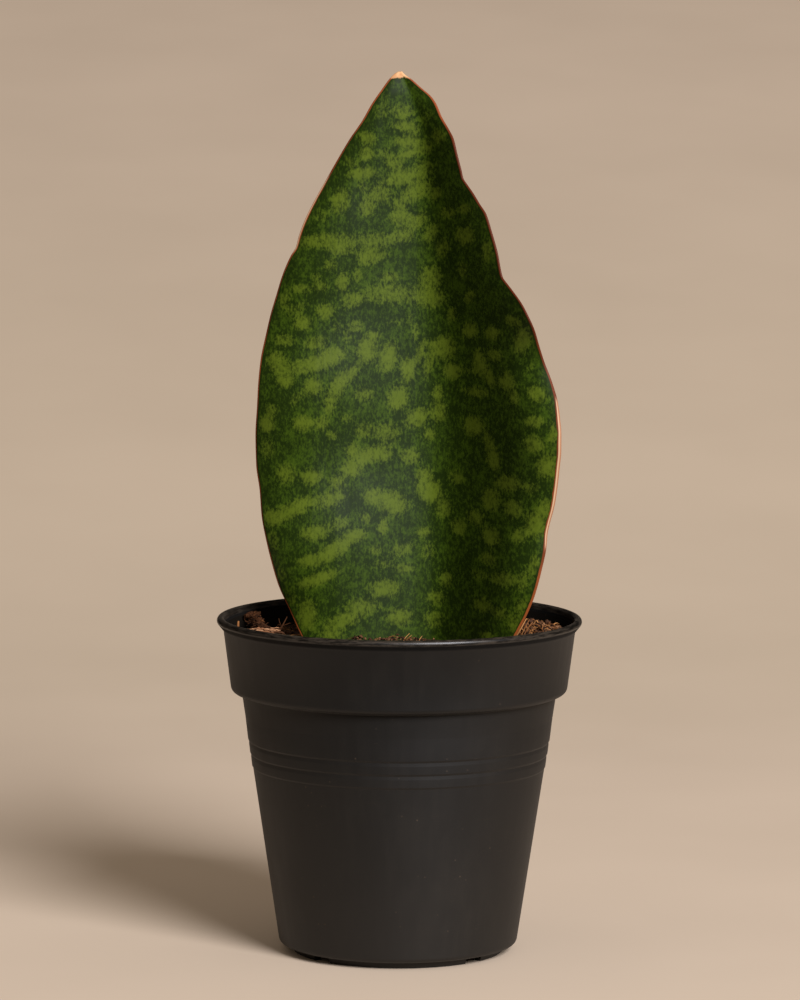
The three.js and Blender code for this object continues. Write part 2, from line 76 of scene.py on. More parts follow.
BEAD_CENTRE = (73.4, POT_HEIGHT - BEAD_RADIUS)
BEAD_ANGLES = (-48, 185)  # degrees, from the underside over the top to the inside
BEAD_STEPS = 26
RING_HEIGHTS = (76.1, 81.6, 87.1)  # lower lips of the three rings
RING_PROUD = 0.42
RING_LIP = 0.7
RING_LENGTH = 4
RING_CLEAR_Z = 97  # the wall is plain again from here
FILLET_STEPS = 6
FILLET_SHARE = 0.48  # of the shorter side that a fillet may take
POT_SIDES = 256
SHARP_ANGLE = 38  # degrees; shallower edges of the pot are shaded smooth
NOTCH_COUNT = 4
NOTCH_WIDTH = 8.6
NOTCH_ROOF = 0.15  # left between a notch and the pot's floor
NOTCH_BELOW = 1  # a notch is cut from this far under the foot
NOTCH_OVERRUN = (2.5, 2.1)  # how far a notch cuts past the foot ring, inside and outside
BOX_FACES = [(0, 1, 3, 2), (4, 6, 7, 5), (0, 4, 5, 1), (2, 3, 7, 6), (0, 2, 6, 4), (1, 5, 7, 3)]
DRAIN_COUNT = 8  # in a circle, with one more in the middle
DRAIN_RADIUS = 4
DRAIN_CIRCLE = 30
DRAIN_CUT = (1, 7)  # the holes are cut between these heights
DRAIN_SIDES = 40

# looks of the pot: pairs of heights between which a look comes in or goes out; under the rim bead and on
# the inside wall that look is painted shade
RIM_CHALK = (135.6, 136.4)
# painted shade: the dark band under the rim bead comes in and goes out between these
UNDER_RIM_SHADE_FOOT = (133.4, 134.6)
UNDER_RIM_SHADE_TOP = (135.6, 136.2)
# painted shade on the inside wall of the pot, above the mix
INSIDE_SHADE_TOP = (134.5, 135.6)
INSIDE_SHADE_FOOT = (110, 112)
INSIDE_SHADE_DEPTH = (0.4, 1.2)  # as above, but measured inwards from the collar

# mix
GAP = 0.35  # between the mix and the pot
SOIL_LEVEL = 127.6
SOIL_SIDES = 240
SOIL_RINGS = 110
RING_CROWDING = 0.9  # below 1 the rings of points stand closer together at the wall
SOIL_REACH = 69.6
SOIL_STEP = (66, 110.6)  # radius, height
SOIL_FOOT_STEP = 3
SOIL_COLLAR_RISE = 1.3
SOIL_WALL_TOP = 122

# crumbs and fibres on the mix
LITTER_RISES = [  # centre x, centre y, height, and spread in x and in y
    (56, 12, 5.6, 280, 280), (-6, 2, 0.9, 190, 34), (-33, -1, -1.6, 130, 60), (20, 1, -1.4, 60, 60),
]
LEAF_CLEARANCE = 2.2  # between the leaf's middle surface and the crumbs and fibres
LEAF_CLEAR_RISE = 3  # the leaf is met this high over the mix
CRUMB_COUNT = 620
GRAIN_COUNT = 1500
BIG_CRUMB = 0.8
MIDDLE_REACH = 24  # big crumbs this near to the pot's axis are made smaller
MIDDLE_SHRINK = 0.55
CRUMB_ROUGH = 0.7
PILES = [  # centre x and y, spread in x and y, crumbs, their sizes and their lift by size
    (-17, 1.5, 1.6, 2.4, 34, (0.3, 0.8), 1.1), (-5, 1.5, 3.6, 2.4, 60, (0.3, 0.8), 1.1),
    (8, 1.5, 1.8, 2.4, 22, (0.3, 0.8), 1.1), (57, 6, 6, 13, 260, (0.4, 1.5), 0.7),
]
FIBRE_COUNT = 330
FIBRE_RANGES = ((3, 16), (0.3, 3), (0.09, 0.28))  # length, lift and radius
TUFTS = [  # centre x and y, spread in x and y, fibres, and their ranges as above
    (56, 6, 6, 12, 420, ((1.5, 7), (0.5, 6), (0.12, 0.38))),
    (-5, 1, 9, 3, 24, ((2, 5), (0.5, 3), (0.1, 0.2))),
]
FIBRE_STEPS = 9
FIBRE_TAPER = 0.55
STICKS = [  # root, middle, end, radius, tone
    ((46.6, -10.5, 129.5), (49.8, -10.2, 135), (52, -9.8, 139), 0.3, 0.95),
    ((48.8, -9, 129.5), (51.4, -8.8, 135), (53.2, -8.6, 138.4), 0.24, 0.7),
    ((50.2, -7, 130), (52.4, -6.6, 134.2), (54.6, -6, 137), 0.26, 0.6),
    ((-67.2, 14, 130), (-66.8, 14, 132), (-66.6, 13.8, 134.2), 0.6, 0.7),
    ((1.4, 0, 127.6), (2.6, 0.4, 129.6), (4.2, 0.8, 131.2), 0.16, 1),
    ((2.6, 1, 127.8), (3.6, 1, 129.2), (5.2, 1.4, 130.4), 0.13, 1),
    ((7.6, -0.6, 127.4), (8.4, -0.4, 129), (9.4, 0, 130.2), 0.16, 1),
]

# bark and wood
BARK_FOOT = (-57, 21, 129.4)
BARK_STEP = (-2, 3.2, 2.2)  # from each lump to the next, up the wall
BARK_LUMP = (3.1, 2.4, 2.7)
BARK_LUMPS = 3
BARK_CRUMBS = 60
BARK_FIBRES = 260
COIR_SINK = 0.4  # the bark's fibres start this much lower than its lumps
TWIG_TONE = 0.45
TWIGS = [  # root, middle, end, radius
    ((-51.4, 13, 129.6), (-48.6, 13, 132), (-46.4, 13.4, 136.2), 0.36),
    ((-48.8, 13, 132), (-49.6, 12.6, 134), (-49.9, 12.4, 135.6), 0.2),
    ((-48.4, 13, 132.4), (-45.4, 13.6, 133.4), (-43.4, 14, 133.6), 0.2),
]
SPLINTER_ROOT = Vector((-63.5, 5, 131.2))
SPLINTER_ENDS = [Vector((-45.2, -3, 131.2)), Vector((-48.8, 3, 131.4)), Vector((-52.5, -1, 131.6))]
SPLINTER_ARCH = 0.6
SLIVER_COUNT = 22
SLIVER_STEPS = 6

# leaf: margins, fold and thickness by height
LEFT_MARGIN = [
    (57, -15), (66, -15.5), (79, -17), (93, -21), (107, -27.5), (120, -35.2), (129.2, -40.6),
    (139.7, -45.6), (149.5, -50.1), (159, -52.9), (168, -55.1), (178.4, -57.1), (188.7, -58),
    (199, -59.5), (211, -59.8), (223.8, -59.1), (232, -58.7), (242.4, -57.7), (252.7, -55.6),
    (261, -53.7), (269.2, -51.3), (277.4, -48.8), (285.2, -45.5), (288.9, -43.3), (293.5, -42.1),
    (300, -39.7), (308.3, -35.6), (316.6, -31), (324.8, -26.4), (333, -21.6), (341.2, -16.1),
    (347.8, -12.4), (353.5, -8.5), (358, -5.2), (360.3, -2.9), (361.1, -1.5),
]
RIGHT_MARGIN = [
    (57, 17), (66, 17.5), (79, 20), (93, 26), (107, 33.5), (120, 40.5), (134.3, 47.6),
    (144.7, 52.4), (151.4, 54.8), (163, 57.7), (170.5, 59.2), (176.5, 59.7), (179.9, 60.4),
    (188.6, 62.5), (196, 63.5), (203.3, 64.2), (211, 64.8), (217, 64.8), (223, 64.3),
    (230.2, 63.3), (237.4, 61.2), (246.3, 57.8), (252.5, 55.8), (259.1, 53.8), (264.4, 51.4),
    (269.5, 48.6), (274.1, 45.2), (277.1, 42.8), (279.2, 41.2), (282.2, 40.4), (288.6, 39.2),
    (298.1, 36.5), (304.5, 34.4), (308.4, 31.8), (312.3, 29.4), (316.2, 26.6), (318.3, 25.2),
    (321.3, 24.5), (327.8, 22.8), (334.2, 21.2), (338.6, 18.9), (343, 16.3), (348.2, 14),
    (351, 12), (354.6, 7.8), (357.7, 4.3), (360.3, 0.7), (361.1, 0.1),
]
LEAF_FOLD = [
    (57, 2), (133.5, 16), (215, 18), (250, 17), (288, 12.4), (337, 8.7), (352, 4), (361.1, -0.6),
]
LEAF_LEAN = [(57, 11), (133.5, 10), (210, 15), (300, 18), (361.1, 17)]
LEAF_CORE = [(57, 7), (133.5, 4), (210, 3.2), (320, 2.4), (361.1, 1.6)]
LEAF_EDGE = 0.9
LEAF_LOW = 61.5  # the modelled blade starts here, just over the rhizome
LEAF_STEPS = 290
LEAF_TOP = LEFT_MARGIN[-1][0]
LEAF_CROWDING = 1.35  # above 1 the rows of points stand closer together towards the tip
WING_STEPS = 52
WING_SHARES = np.linspace(0, 1, WING_STEPS + 1)  # of the way from the fold to the margin
EDGE_STEPS = 5
RIPPLE_DEPTH = 0.12
MARGIN_LIMIT = 50  # no look of the margin reaches further in
UPPER_LEAF = (250, 295)  # heights between which the blotches grow a little fainter
RUSTY_FOOT = (128, 175)  # heights between which the margin's warmer foot goes out

# leaf section: angles in degrees, lengths as shares of a wing's width
LEAF_TURN = [(57, 22), (330, 22), (340, 19), (345, 15), (349, 11), (353, 6), (361.1, 6)]
WING_RISE = [(z, turn + 16) for z, turn in LEAF_TURN]
FOLD_SHARE = 0.13
FLARE_START = {-1: 0.35, 1: 0.58}  # from here out a wing bends back; -1 is the left wing
LEFT_FLARE = [(57, 0), (100, 10), (150, 58), (300, 50), (361.1, 30)]
RIGHT_FLARE = [(57, 0), (100, 10), (150, 58), (238, 58), (266, 12), (361.1, 8)]
WAVE_LENGTH = 62
WAVE_SHARE = 0.022
WAVE_PHASE = {-1: 0, 1: 2}

# width of the horny margin by height
LEFT_HORN = [
    (57, 0.45), (200, 0.4), (280, 0.5), (292, 0.8), (312, 0.8), (325, 0.5), (361.1, 0.4),
]
RIGHT_HORN = [
    (57, 0.5), (140, 0.55), (166, 0.55), (178, 0.95), (212, 1.2), (226, 0.9), (240, 0.35),
    (361.1, 0.25),
]

# the leaf's main light blotches, seen from the front: x, z, half length, half width, strength,
# and the rise to the right in degrees where there is one
BLOTCHES = [
    # tip
    (-7, 350, 4, 2, 0.5, 80), (0, 345, 5, 3, 0.8), (-9, 344, 3, 3, 0.6), (10, 343, 4, 3, 0.5, 60),
    (1, 339, 5, 2.5, 0.9), (5, 337, 3, 2, 0.7), (-14, 334, 3.5, 2.5, 1, -20), (3, 332.5, 6, 2.5, 1),
    (15, 335, 3, 3, 0.9), (10, 330, 2.5, 2.5, 0.7), (-14.5, 327.5, 3, 3, 1), (-7, 328, 3, 2, 0.7, 20),
    (4, 328, 6, 2, 0.9, 15), (-3, 323.5, 4, 3, 0.9), (-21, 324, 3, 2, 0.7, -20), (9, 323, 4, 2.5, 0.7),
    (-16, 319.5, 6, 2.5, 1, 5), (2, 318, 9, 3, 1, 10), (-16, 314, 2.5, 2, 0.7, 90),
    (-9, 311, 4.5, 4, 0.9), (6, 312, 7, 3.5, 1, 25), (-25, 308, 5, 4, 1, 70), (-14, 305.5, 3.5, 3, 1, 90),
    (-1, 306, 3, 3, 0.8), (-33, 302, 3, 3, 0.6), (0, 301, 5, 3, 0.9), (7, 300, 5, 2.5, 0.9, 45),
    (19, 304, 3, 2.5, 0.8), (26, 306, 2.5, 2, 0.9), (14, 311, 3, 2, 0.8, 60),
    # under the tip
    (-31, 292, 13, 3, 0.9, 3), (-25, 288.5, 5, 2.5, 0.9), (-10, 292, 8, 3, 0.85, 5), (1, 294, 4, 3, 0.9),
    (12, 295, 5, 3, 0.8, 60), (26, 295, 4, 3.5, 1, 60), (-12, 286, 6, 3, 0.9), (17, 289, 4, 3, 0.8, 80),
    (35, 290, 5, 2.5, 0.8, 80), (-29, 282, 3, 2.5, 0.8), (-14, 284, 3, 2.5, 0.7),
    (-18, 278, 3, 2, 0.7, 90), (-35, 277, 2, 2, 0.7), (-24, 275, 4, 2.5, 1, 85), (-33, 273, 3, 2.5, 0.8),
    (-41, 272, 4, 2, 0.7), (-5, 277, 4, 2, 0.8), (-20, 267, 4.5, 3, 0.8, 10), (-4.5, 270, 11, 4, 0.85),
    (12, 276, 6, 4.5, 0.9, 80), (12, 268, 6, 3.5, 0.9), (-31, 263, 3.5, 3, 1), (-48, 267, 4, 3, 0.7, 90),
    (-42, 264, 5, 2, 0.6, 35), (-40.5, 258, 3.5, 3, 1), (-18.5, 257, 3, 2.5, 0.8),
    (-26, 256.5, 2, 2.5, 0.6), (-2, 258.5, 4, 2, 0.5), (6, 254, 4, 1.5, 0.7, 85), (4, 260, 3, 1, 0.6, 85),
    (21, 262, 3, 2, 0.8, 70), (28, 270, 3, 2, 0.8, 60), (25, 281, 3, 2, 0.8, 80),
    # middle, left wing
    (-48, 251, 4, 2.5, 0.8, -10), (-35, 250, 4.5, 2.5, 0.9, 10), (-11, 253, 2.5, 2.5, 0.8),
    (-22, 253, 3, 2, 0.6, 90), (-14, 247, 5, 4, 1, 90), (-5, 244, 6, 3.5, 1, 75), (17, 248, 5.5, 4.5, 1),
    (8, 246, 6, 1.5, 0.9, 72), (-28, 245, 5, 3, 1, 10), (-51, 242, 4, 4, 0.9), (-37, 241, 9, 3, 1, 10),
    (3, 239, 5, 3, 1, 90), (11, 240, 5, 2, 0.8, 80), (21, 238.5, 3.5, 3, 1), (-21, 237, 5, 2.5, 0.9, 45),
    (-47.5, 234.5, 3.5, 3, 1), (-36, 232, 3.5, 3.5, 1), (-26, 232, 5, 3, 0.9, 70), (-15, 229, 4, 3, 0.8),
    (-1, 227, 5, 4, 1, 75), (15, 229, 4, 2.5, 0.8, 85), (-29, 225, 4, 2.5, 0.8, 90),
    (-43, 227, 4, 2, 0.6, 45), (-53, 222, 3, 3, 0.7), (7, 219, 5, 3.5, 1, 30), (16, 221, 4, 3, 0.9, 80),
    (-40, 217, 4, 3, 1), (-32, 217, 3, 2.5, 0.9, 90), (-55, 216, 3, 3, 1), (-22, 219, 3, 2, 0.6),
    (-5, 213, 5, 4, 0.8), (-15, 214, 4, 3, 0.8), (12, 212, 2.5, 2.5, 0.9), (-28, 212, 2.5, 2, 0.7),
    # middle, right wing
    (28, 256, 3, 3, 1), (37, 256, 3, 2.5, 1), (32, 243, 5, 2.5, 1, 90), (38, 247, 3, 2.5, 0.9),
    (49, 254, 5, 3, 1, 80), (45, 262, 3, 2, 0.9, -20), (43, 237, 3.5, 3, 1, 70),
    (36, 238, 4, 2, 0.9, -70), (31, 231, 5, 2, 0.9), (55, 233, 4, 3, 0.9, -30), (30, 217, 4, 4, 1),
    (54, 222, 3.5, 2.5, 0.9), (46, 231, 3, 2, 0.8, 90), (36, 212, 4, 2, 0.8, 80), (54, 213, 4, 3, 0.9),
    (27, 240, 2, 2, 0.5), (52, 243, 3, 1.5, 0.4, 60), (62, 218, 4, 2, 0.8, 90),
    # lower, left wing
    (-20, 206, 3, 2.5, 0.9, 90), (-12, 204, 7, 3, 1, 15), (-6.5, 203.5, 2.5, 2.5, 1), (4, 203, 4, 3, 0.9),
    (-55, 206, 4, 3, 0.7, 90), (-20, 198, 4, 3, 1), (-47, 196, 4, 4, 0.8), (-36.5, 195, 4, 3, 1),
    (-26, 193, 3, 2.5, 0.9), (10, 195, 3.5, 3, 0.9, 80), (-11.5, 187, 3.5, 3, 1), (12, 189, 5, 5, 1),
    (-3, 184, 6, 4.5, 1, -20), (18, 182, 4, 3, 0.8, 80), (-28, 186, 6, 3, 0.9, 20),
    (-44, 181.5, 10, 3, 1, 28), (-53, 178, 4, 3, 0.9), (-14, 178, 2.5, 2, 0.8, -30),
    (-7, 174.5, 3, 2, 1, 90), (-25, 176, 4, 2.5, 0.8, 10), (-35, 172, 5.5, 3, 1, 5),
    (-18, 171, 4, 2.5, 0.9, 10), (-27, 165, 9, 3, 1, 35), (-37, 161, 5, 2.5, 0.9, 15),
    (10, 172, 3, 2, 0.9), (-10, 165, 3, 2, 0.7), (1, 165, 5, 3, 0.7, 20), (12, 164, 4, 3, 0.6, 80),
    (-34, 153, 8, 2.5, 1, 20), (-7, 159, 4, 2, 0.6), (2, 157, 4, 2, 0.8), (-6, 149, 6, 3.5, 1),
    (15, 145, 4, 3, 0.8), (-38, 138, 6, 3.5, 1, 85), (-15, 142, 7, 3, 0.8), (-23, 136, 8, 3, 0.9, 15),
    (0, 137, 5, 3.5, 1), (14, 136, 4, 3.5, 0.8), (-28, 130, 5, 2.5, 0.8), (-52, 168, 4, 2.5, 0.6, 90),
    (-49, 154, 3, 3, 0.6), (-45, 144, 3, 3, 0.6),
    # lower, right wing
    (38, 205, 4.5, 2.5, 1, 90), (59, 204, 5, 4, 0.9, 80), (44, 196, 4.5, 3, 1), (23, 195, 3, 3, 0.7),
    (53, 195, 3, 2.5, 0.7), (37, 188, 4, 3.5, 1, 90), (46, 186, 3.5, 3.5, 0.9), (59, 187, 4, 3, 0.8, 90),
    (31, 180, 3.5, 3, 0.8), (55, 180, 5, 4, 1, 90), (37, 173, 3.5, 3.5, 1), (24, 175, 3, 3, 0.9),
    (48, 175, 3, 3, 0.8), (36, 164, 3, 2.5, 0.8), (55, 164, 4, 3, 0.8, 80), (42, 157, 5, 3, 0.8),
    (32, 157, 3, 2, 0.6), (19, 153, 3, 2.5, 0.9, 80), (34, 145, 4, 3, 0.8), (41, 143, 3, 2.5, 0.8),
    (50, 147, 3, 3, 0.8), (47, 139, 4, 3, 0.8, 80), (36, 133, 3, 2, 0.8), (50, 157, 4, 2.5, 0.7, 80),
]
BLOTCH_SPREAD = 1.1  # the blotches fade out this much wider than their sizes

# stage, light and camera, in metres; the camera is fitted to the pot
STAGE_FRONT = -0.15
STAGE_BEND = 0.5  # the floor starts to rise here
STAGE_RADIUS = 3
STAGE_TURN = 12.5  # degrees
STAGE_SLOPE = 1.6  # length of the slope behind the bend
STAGE_HALF = 0.45
STAGE_STEPS = 24
SHADE_START = (0.35, 0.8)  # painted shade: the backdrop is a little darker from here
SHADE_END = (1.3, 2.3)  # to here
KEY_PLACE = Vector((2.598076, -4.5, 3.15))
KEY_TARGET = Vector((0, 0, 0.17))
CAMERA_PLACE = (0, -2.0954, 0.4155)
CAMERA_PITCH = 0.1089  # radians
CAMERA_ROLL = 0.0048
CAMERA_LENS = 185.1


# ---- Small helpers ----

def linear(screen):
    """A screen colour, 0 to 255, as the linear colour that shaders take."""
    shares = [value / 255 for value in screen]
    curve = [v / 12.92 if v <= 0.04045 else ((v + 0.055) / 1.055) ** 2.4 for v in shares]
    return (*curve, 1)


def smooth_table(table):
    """A smooth reading of (place, value) pairs that keeps each rise and fall as it is."""
    place, value = np.array(table).T
    slope = np.diff(value) / np.diff(place)
    tangent = np.zeros(len(place))
    tangent[0], tangent[-1] = slope[0], slope[-1]
    same_way = slope[:-1] * slope[1:] > 0
    tangent[1:-1][same_way] = (2 * slope[:-1] * slope[1:] / (slope[:-1] + slope[1:]))[same_way]

    def read(at):
        i = int(np.clip(np.searchsorted(place, at) - 1, 0, len(slope) - 1))
        step = place[i + 1] - place[i]
        t = min(max((at - place[i]) / step, 0), 1)
        return (
            value[i] * (1 + 2 * t) * (1 - t) ** 2
            + value[i + 1] * t * t * (3 - 2 * t)
            + step * t * (1 - t) * (tangent[i] * (1 - t) - tangent[i + 1] * t)
        )

    return read


def new_object(name, data):
    """An object for a mesh, light or camera, linked to the scene."""
    obj = bpy.data.objects.new(name, data)
    bpy.context.scene.collection.objects.link(obj)
    return obj


def make_object(name, vertices, faces, material, attributes=None):
    """A mesh object from points in millimetres that rides on the pot."""
    mesh = bpy.data.meshes.new(name)
    mesh.from_pydata((np.asarray(vertices, float) * MM).tolist(), [], faces)
    mesh.shade_smooth()
    for key, values in (attributes or {}).items():
        layer = mesh.attributes.new(key, "FLOAT", "POINT")
        layer.data.foreach_set("value", np.asarray(values, np.float32))
    mesh.materials.append(material)
    mesh.validate()
    obj = new_object(name, mesh)
    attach(obj, "root")
    return obj


class Batch:
    """Many small solids gathered into one mesh, each with a tone of its own."""

    def __init__(self):
        self.points, self.faces, self.tones = [], [], []

    def add(self, points, faces, tone):
        first = len(self.points)
        self.points.extend(points)
        self.faces.extend([tuple(first + i for i in face) for face in faces])
        self.tones.extend([tone] * len(points))

    def add_twig(self, path, thick, taper, sides, tone):
        """A tube through three points that narrows towards its end."""
        self.add(*tube(path, [thick, thick, thick * taper], sides), tone)

    def build(self, name, material):
        return make_object(name, self.points, self.faces, material, {"tone": self.tones})


def tube(path, radii, sides):
    """Points and faces of a closed tube along a list of points."""
    path = [Vector(p) for p in path]
    points, faces = [], []
    side = None
    for i, centre in enumerate(path):
        ahead = path[min(i + 1, len(path) - 1)] - path[max(i - 1, 0)]
        ahead.normalize()
        if side is None:
            side = ahead.orthogonal().normalized()
        side = (side - ahead * side.dot(ahead)).normalized()
        across = ahead.cross(side)
        for j in range(sides):
            angle = 2 * math.pi * j / sides
            points.append(centre + (side * math.cos(angle) + across * math.sin(angle)) * radii[i])
    for i in range(len(path) - 1):
        for j in range(sides):
            a, b = i * sides + j, i * sides + (j + 1) % sides
            faces.append((a, b, b + sides, a + sides))
    faces.append(tuple(reversed(range(sides))))
    faces.append(tuple(range(len(points) - sides, len(points))))
    return points, faces


def icosphere(divisions):
    shape = bmesh.new()
    bmesh.ops.create_icosphere(shape, subdivisions=divisions, radius=1)
    shape.verts.index_update()
    points = [vertex.co.copy() for vertex in shape.verts]
    faces = [tuple(vertex.index for vertex in face.verts) for face in shape.faces]
    shape.free()
    return points, faces


LUMPS = {divisions: icosphere(divisions) for divisions in (1, 2, 4)}


def lump(centre, size, draw, divisions, rough):
    """Points and faces of a rough crumb."""
    points, faces = LUMPS[divisions]
    seed = Vector((draw.random(), draw.random(), draw.random())) * 50
    spin = Matrix.Rotation(draw.random() * math.pi, 3, "Z") @ Matrix.Rotation(draw.random() * 2, 3, "X")
    made = []
    for p in points:
        reach = 1 + rough * noise.noise(p * 1.6 + seed) + rough * 0.5 * noise.noise(p * 4 + seed)
        corner = Vector((p.x * size[0], p.y * size[1], p.z * size[2]))
        made.append(Vector(centre) + spin @ corner * reach)
    return made, faces


# ---- Shader building ----

class Shader:
    """A material with its node tree, and short names for the nodes used here."""

    def __init__(self, name):
        self.material = bpy.data.materials.new(name)
        self.material.use_nodes = True
        self.tree = self.material.node_tree
        self.surface = self.tree.nodes["Principled BSDF"]
        self.place = self.add("ShaderNodeTexCoord").outputs["Object"]

    def add(self, kind, **settings):
        node = self.tree.nodes.new(kind)
        for key, value in settings.items():
            setattr(node, key, value)
        return node

    def put(self, socket, value):
        if isinstance(value, bpy.types.NodeSocket):
            self.tree.links.new(value, socket)
        else:
            socket.default_value = value

    def set(self, **inputs):
        for key, value in inputs.items():
            self.put(self.surface.inputs[key.replace("_", " ")], value)

    def stretched(self, scale):
        """The object's own coordinates, in repeats per metre along each axis."""
        node = self.add("ShaderNodeMapping")
        self.put(node.inputs["Vector"], self.place)
        self.put(node.inputs["Scale"], scale)
        return node.outputs["Vector"]

    def axis(self, number):
        """One of the object's own coordinates: 1 for y, 2 for z."""
        node = self.add("ShaderNodeSeparateXYZ")
        self.put(node.inputs[0], self.place)
        return node.outputs[number]

    def noise(self, scale, detail, roughness=0.5):
        """scale is in repeats per metre: one number, or one for each axis."""
        node = self.add("ShaderNodeTexNoise")
        by_axis = isinstance(scale, tuple)
        self.put(node.inputs["Vector"], self.stretched(scale) if by_axis else self.place)
        self.put(node.inputs["Scale"], 1 if by_axis else scale)
        self.put(node.inputs["Detail"], detail)
        self.put(node.inputs["Roughness"], roughness)
        return node.outputs[0]

    def cells(self, scale):
        node = self.add("ShaderNodeTexVoronoi")
        self.put(node.inputs["Vector"], self.place)
        self.put(node.inputs["Scale"], scale)
        return node.outputs["Distance"]

    def math(self, operation, a, b):
        node = self.add("ShaderNodeMath", operation=operation)
        self.put(node.inputs[0], a)
        self.put(node.inputs[1], b)
        return node.outputs[0]

    def times(self, a, b):
        return self.math("MULTIPLY", a, b)

    def sum(self, *terms):
        """Adds up pairs of a weight and a socket or number."""
        total = 0.0
        for weight, term in terms:
            total = self.math("ADD", self.times(term, weight), total)
        return total

    def pushed(self, value, pattern, reach):
        """value made ragged by a pattern, by up to half of reach either way."""
        return self.math("ADD", value, self.times(self.math("SUBTRACT", pattern, 0.5), reach))

    def span(self, value, low, high, to_low=0, to_high=1):
        """value read smoothly from low to high as to_low to to_high."""
        node = self.add("ShaderNodeMapRange", interpolation_type="SMOOTHSTEP")
        for number, setting in enumerate((value, low, high, to_low, to_high)):
            self.put(node.inputs[number], setting)
        return node.outputs[0]

    def band(self, value, places, to_low=0, to_high=1):
        """As span, between two places in millimetres."""
        return self.span(value, places[0] * MM, places[1] * MM, to_low, to_high)

    def mix(self, share, a, b):
        """Mixes two colours, each a socket or a screen colour."""
        node = self.add("ShaderNodeMix", data_type="RGBA")
        self.put(node.inputs[0], share)
        for number, colour in ((6, a), (7, b)):
            self.put(node.inputs[number], linear(colour) if isinstance(colour, tuple) else colour)
        return node.outputs[2]

    def attribute(self, name):
        return self.add("ShaderNodeAttribute", attribute_name=name).outputs["Fac"]

    def bump(self, height, distance, strength, below=None):
        """distance is the height of the relief in metres."""
        node = self.add("ShaderNodeBump")
        self.put(node.inputs["Height"], height)
        self.put(node.inputs["Distance"], distance)
        self.put(node.inputs["Strength"], strength)
        if below is not None:
            self.put(node.inputs["Normal"], below)
        return node.outputs[0]


# ---- Materials ----

def pot_plastic():
    """Black moulded plastic: satin, with a fine grain, flow streaks, a little dust, a worn rim, and
    painted shade under the rim and on the inside wall.
    """
    s = Shader("pot_plastic")
    streaks = s.noise((260, 260, 9), 3)
    cloud = s.noise(26, 4, 0.6)
    grain = s.noise(3200, 2)
    specks = s.span(s.cells(260), 0.05, 0.11, 1, 0)
    some = s.span(s.noise(45, 3), 0.52, 0.68)
    dust = s.times(specks, some)
    scuff = s.span(s.noise((90, 90, 620), 4, 0.7), 0.66, 0.78)
    worn = s.sum((0.45, cloud), (0.25, streaks), (0.5, scuff))
    height = s.axis(2)
    rim = s.band(height, RIM_CHALK)
    # painted shade under the rim bead
    under_rim_shade = s.times(s.band(height, UNDER_RIM_SHADE_FOOT, 0, 0.62), s.band(height, UNDER_RIM_SHADE_TOP, 1, 0))
    reach = s.add("ShaderNodeVectorMath", operation="LENGTH")
    s.put(reach.inputs[0], s.stretched((1, 1, 0)))
    wall = s.sum((COLLAR_TAPER, height), (MM, COLLAR_RADIUS - COLLAR_TAPER * COLLAR_Z))
    depth = s.math("SUBTRACT", wall, reach.outputs["Value"])
    # painted shade on the inside wall: the inner surface, faded out towards the rim
    inside = s.times(s.band(depth, INSIDE_SHADE_DEPTH), s.band(height, INSIDE_SHADE_TOP, 1, 0))
    # all painted shade: darker colour, rougher and with little reflection
    painted_shade = s.math("MAXIMUM", under_rim_shade, s.times(inside, s.band(height, INSIDE_SHADE_FOOT)))
    scratches = s.noise((160, 160, 1500), 4, 0.7)
    chalky = s.times(rim, s.span(scratches, 0.38, 0.62))
    body = s.mix(s.span(worn, 0.28, 0.66), (17, 14, 10), (30, 25, 18))
    # painted shade colours: near black under the rim, dark brown on the inside wall
    body = s.mix(painted_shade, body, s.mix(inside, (6, 5, 4), (19, 15, 10)))
    body = s.mix(chalky, body, (55, 48, 40))
    shine = s.sum((0.16, cloud), (0.08, streaks), (0.25, dust), (-0.2, rim), (0.3, painted_shade), (1, 0.46))
    s.set(
        Base_Color=s.mix(s.times(dust, 0.5), body, (84, 68, 52)),
        Roughness=shine,
        Normal=s.bump(grain, 0.00004, 0.35, s.bump(streaks, 0.0001, 0.35)),
        # painted shade takes away most of the reflection
        Specular_IOR_Level=s.span(painted_shade, 0, 1, 0.42, 0.06),
    )
    return s.material


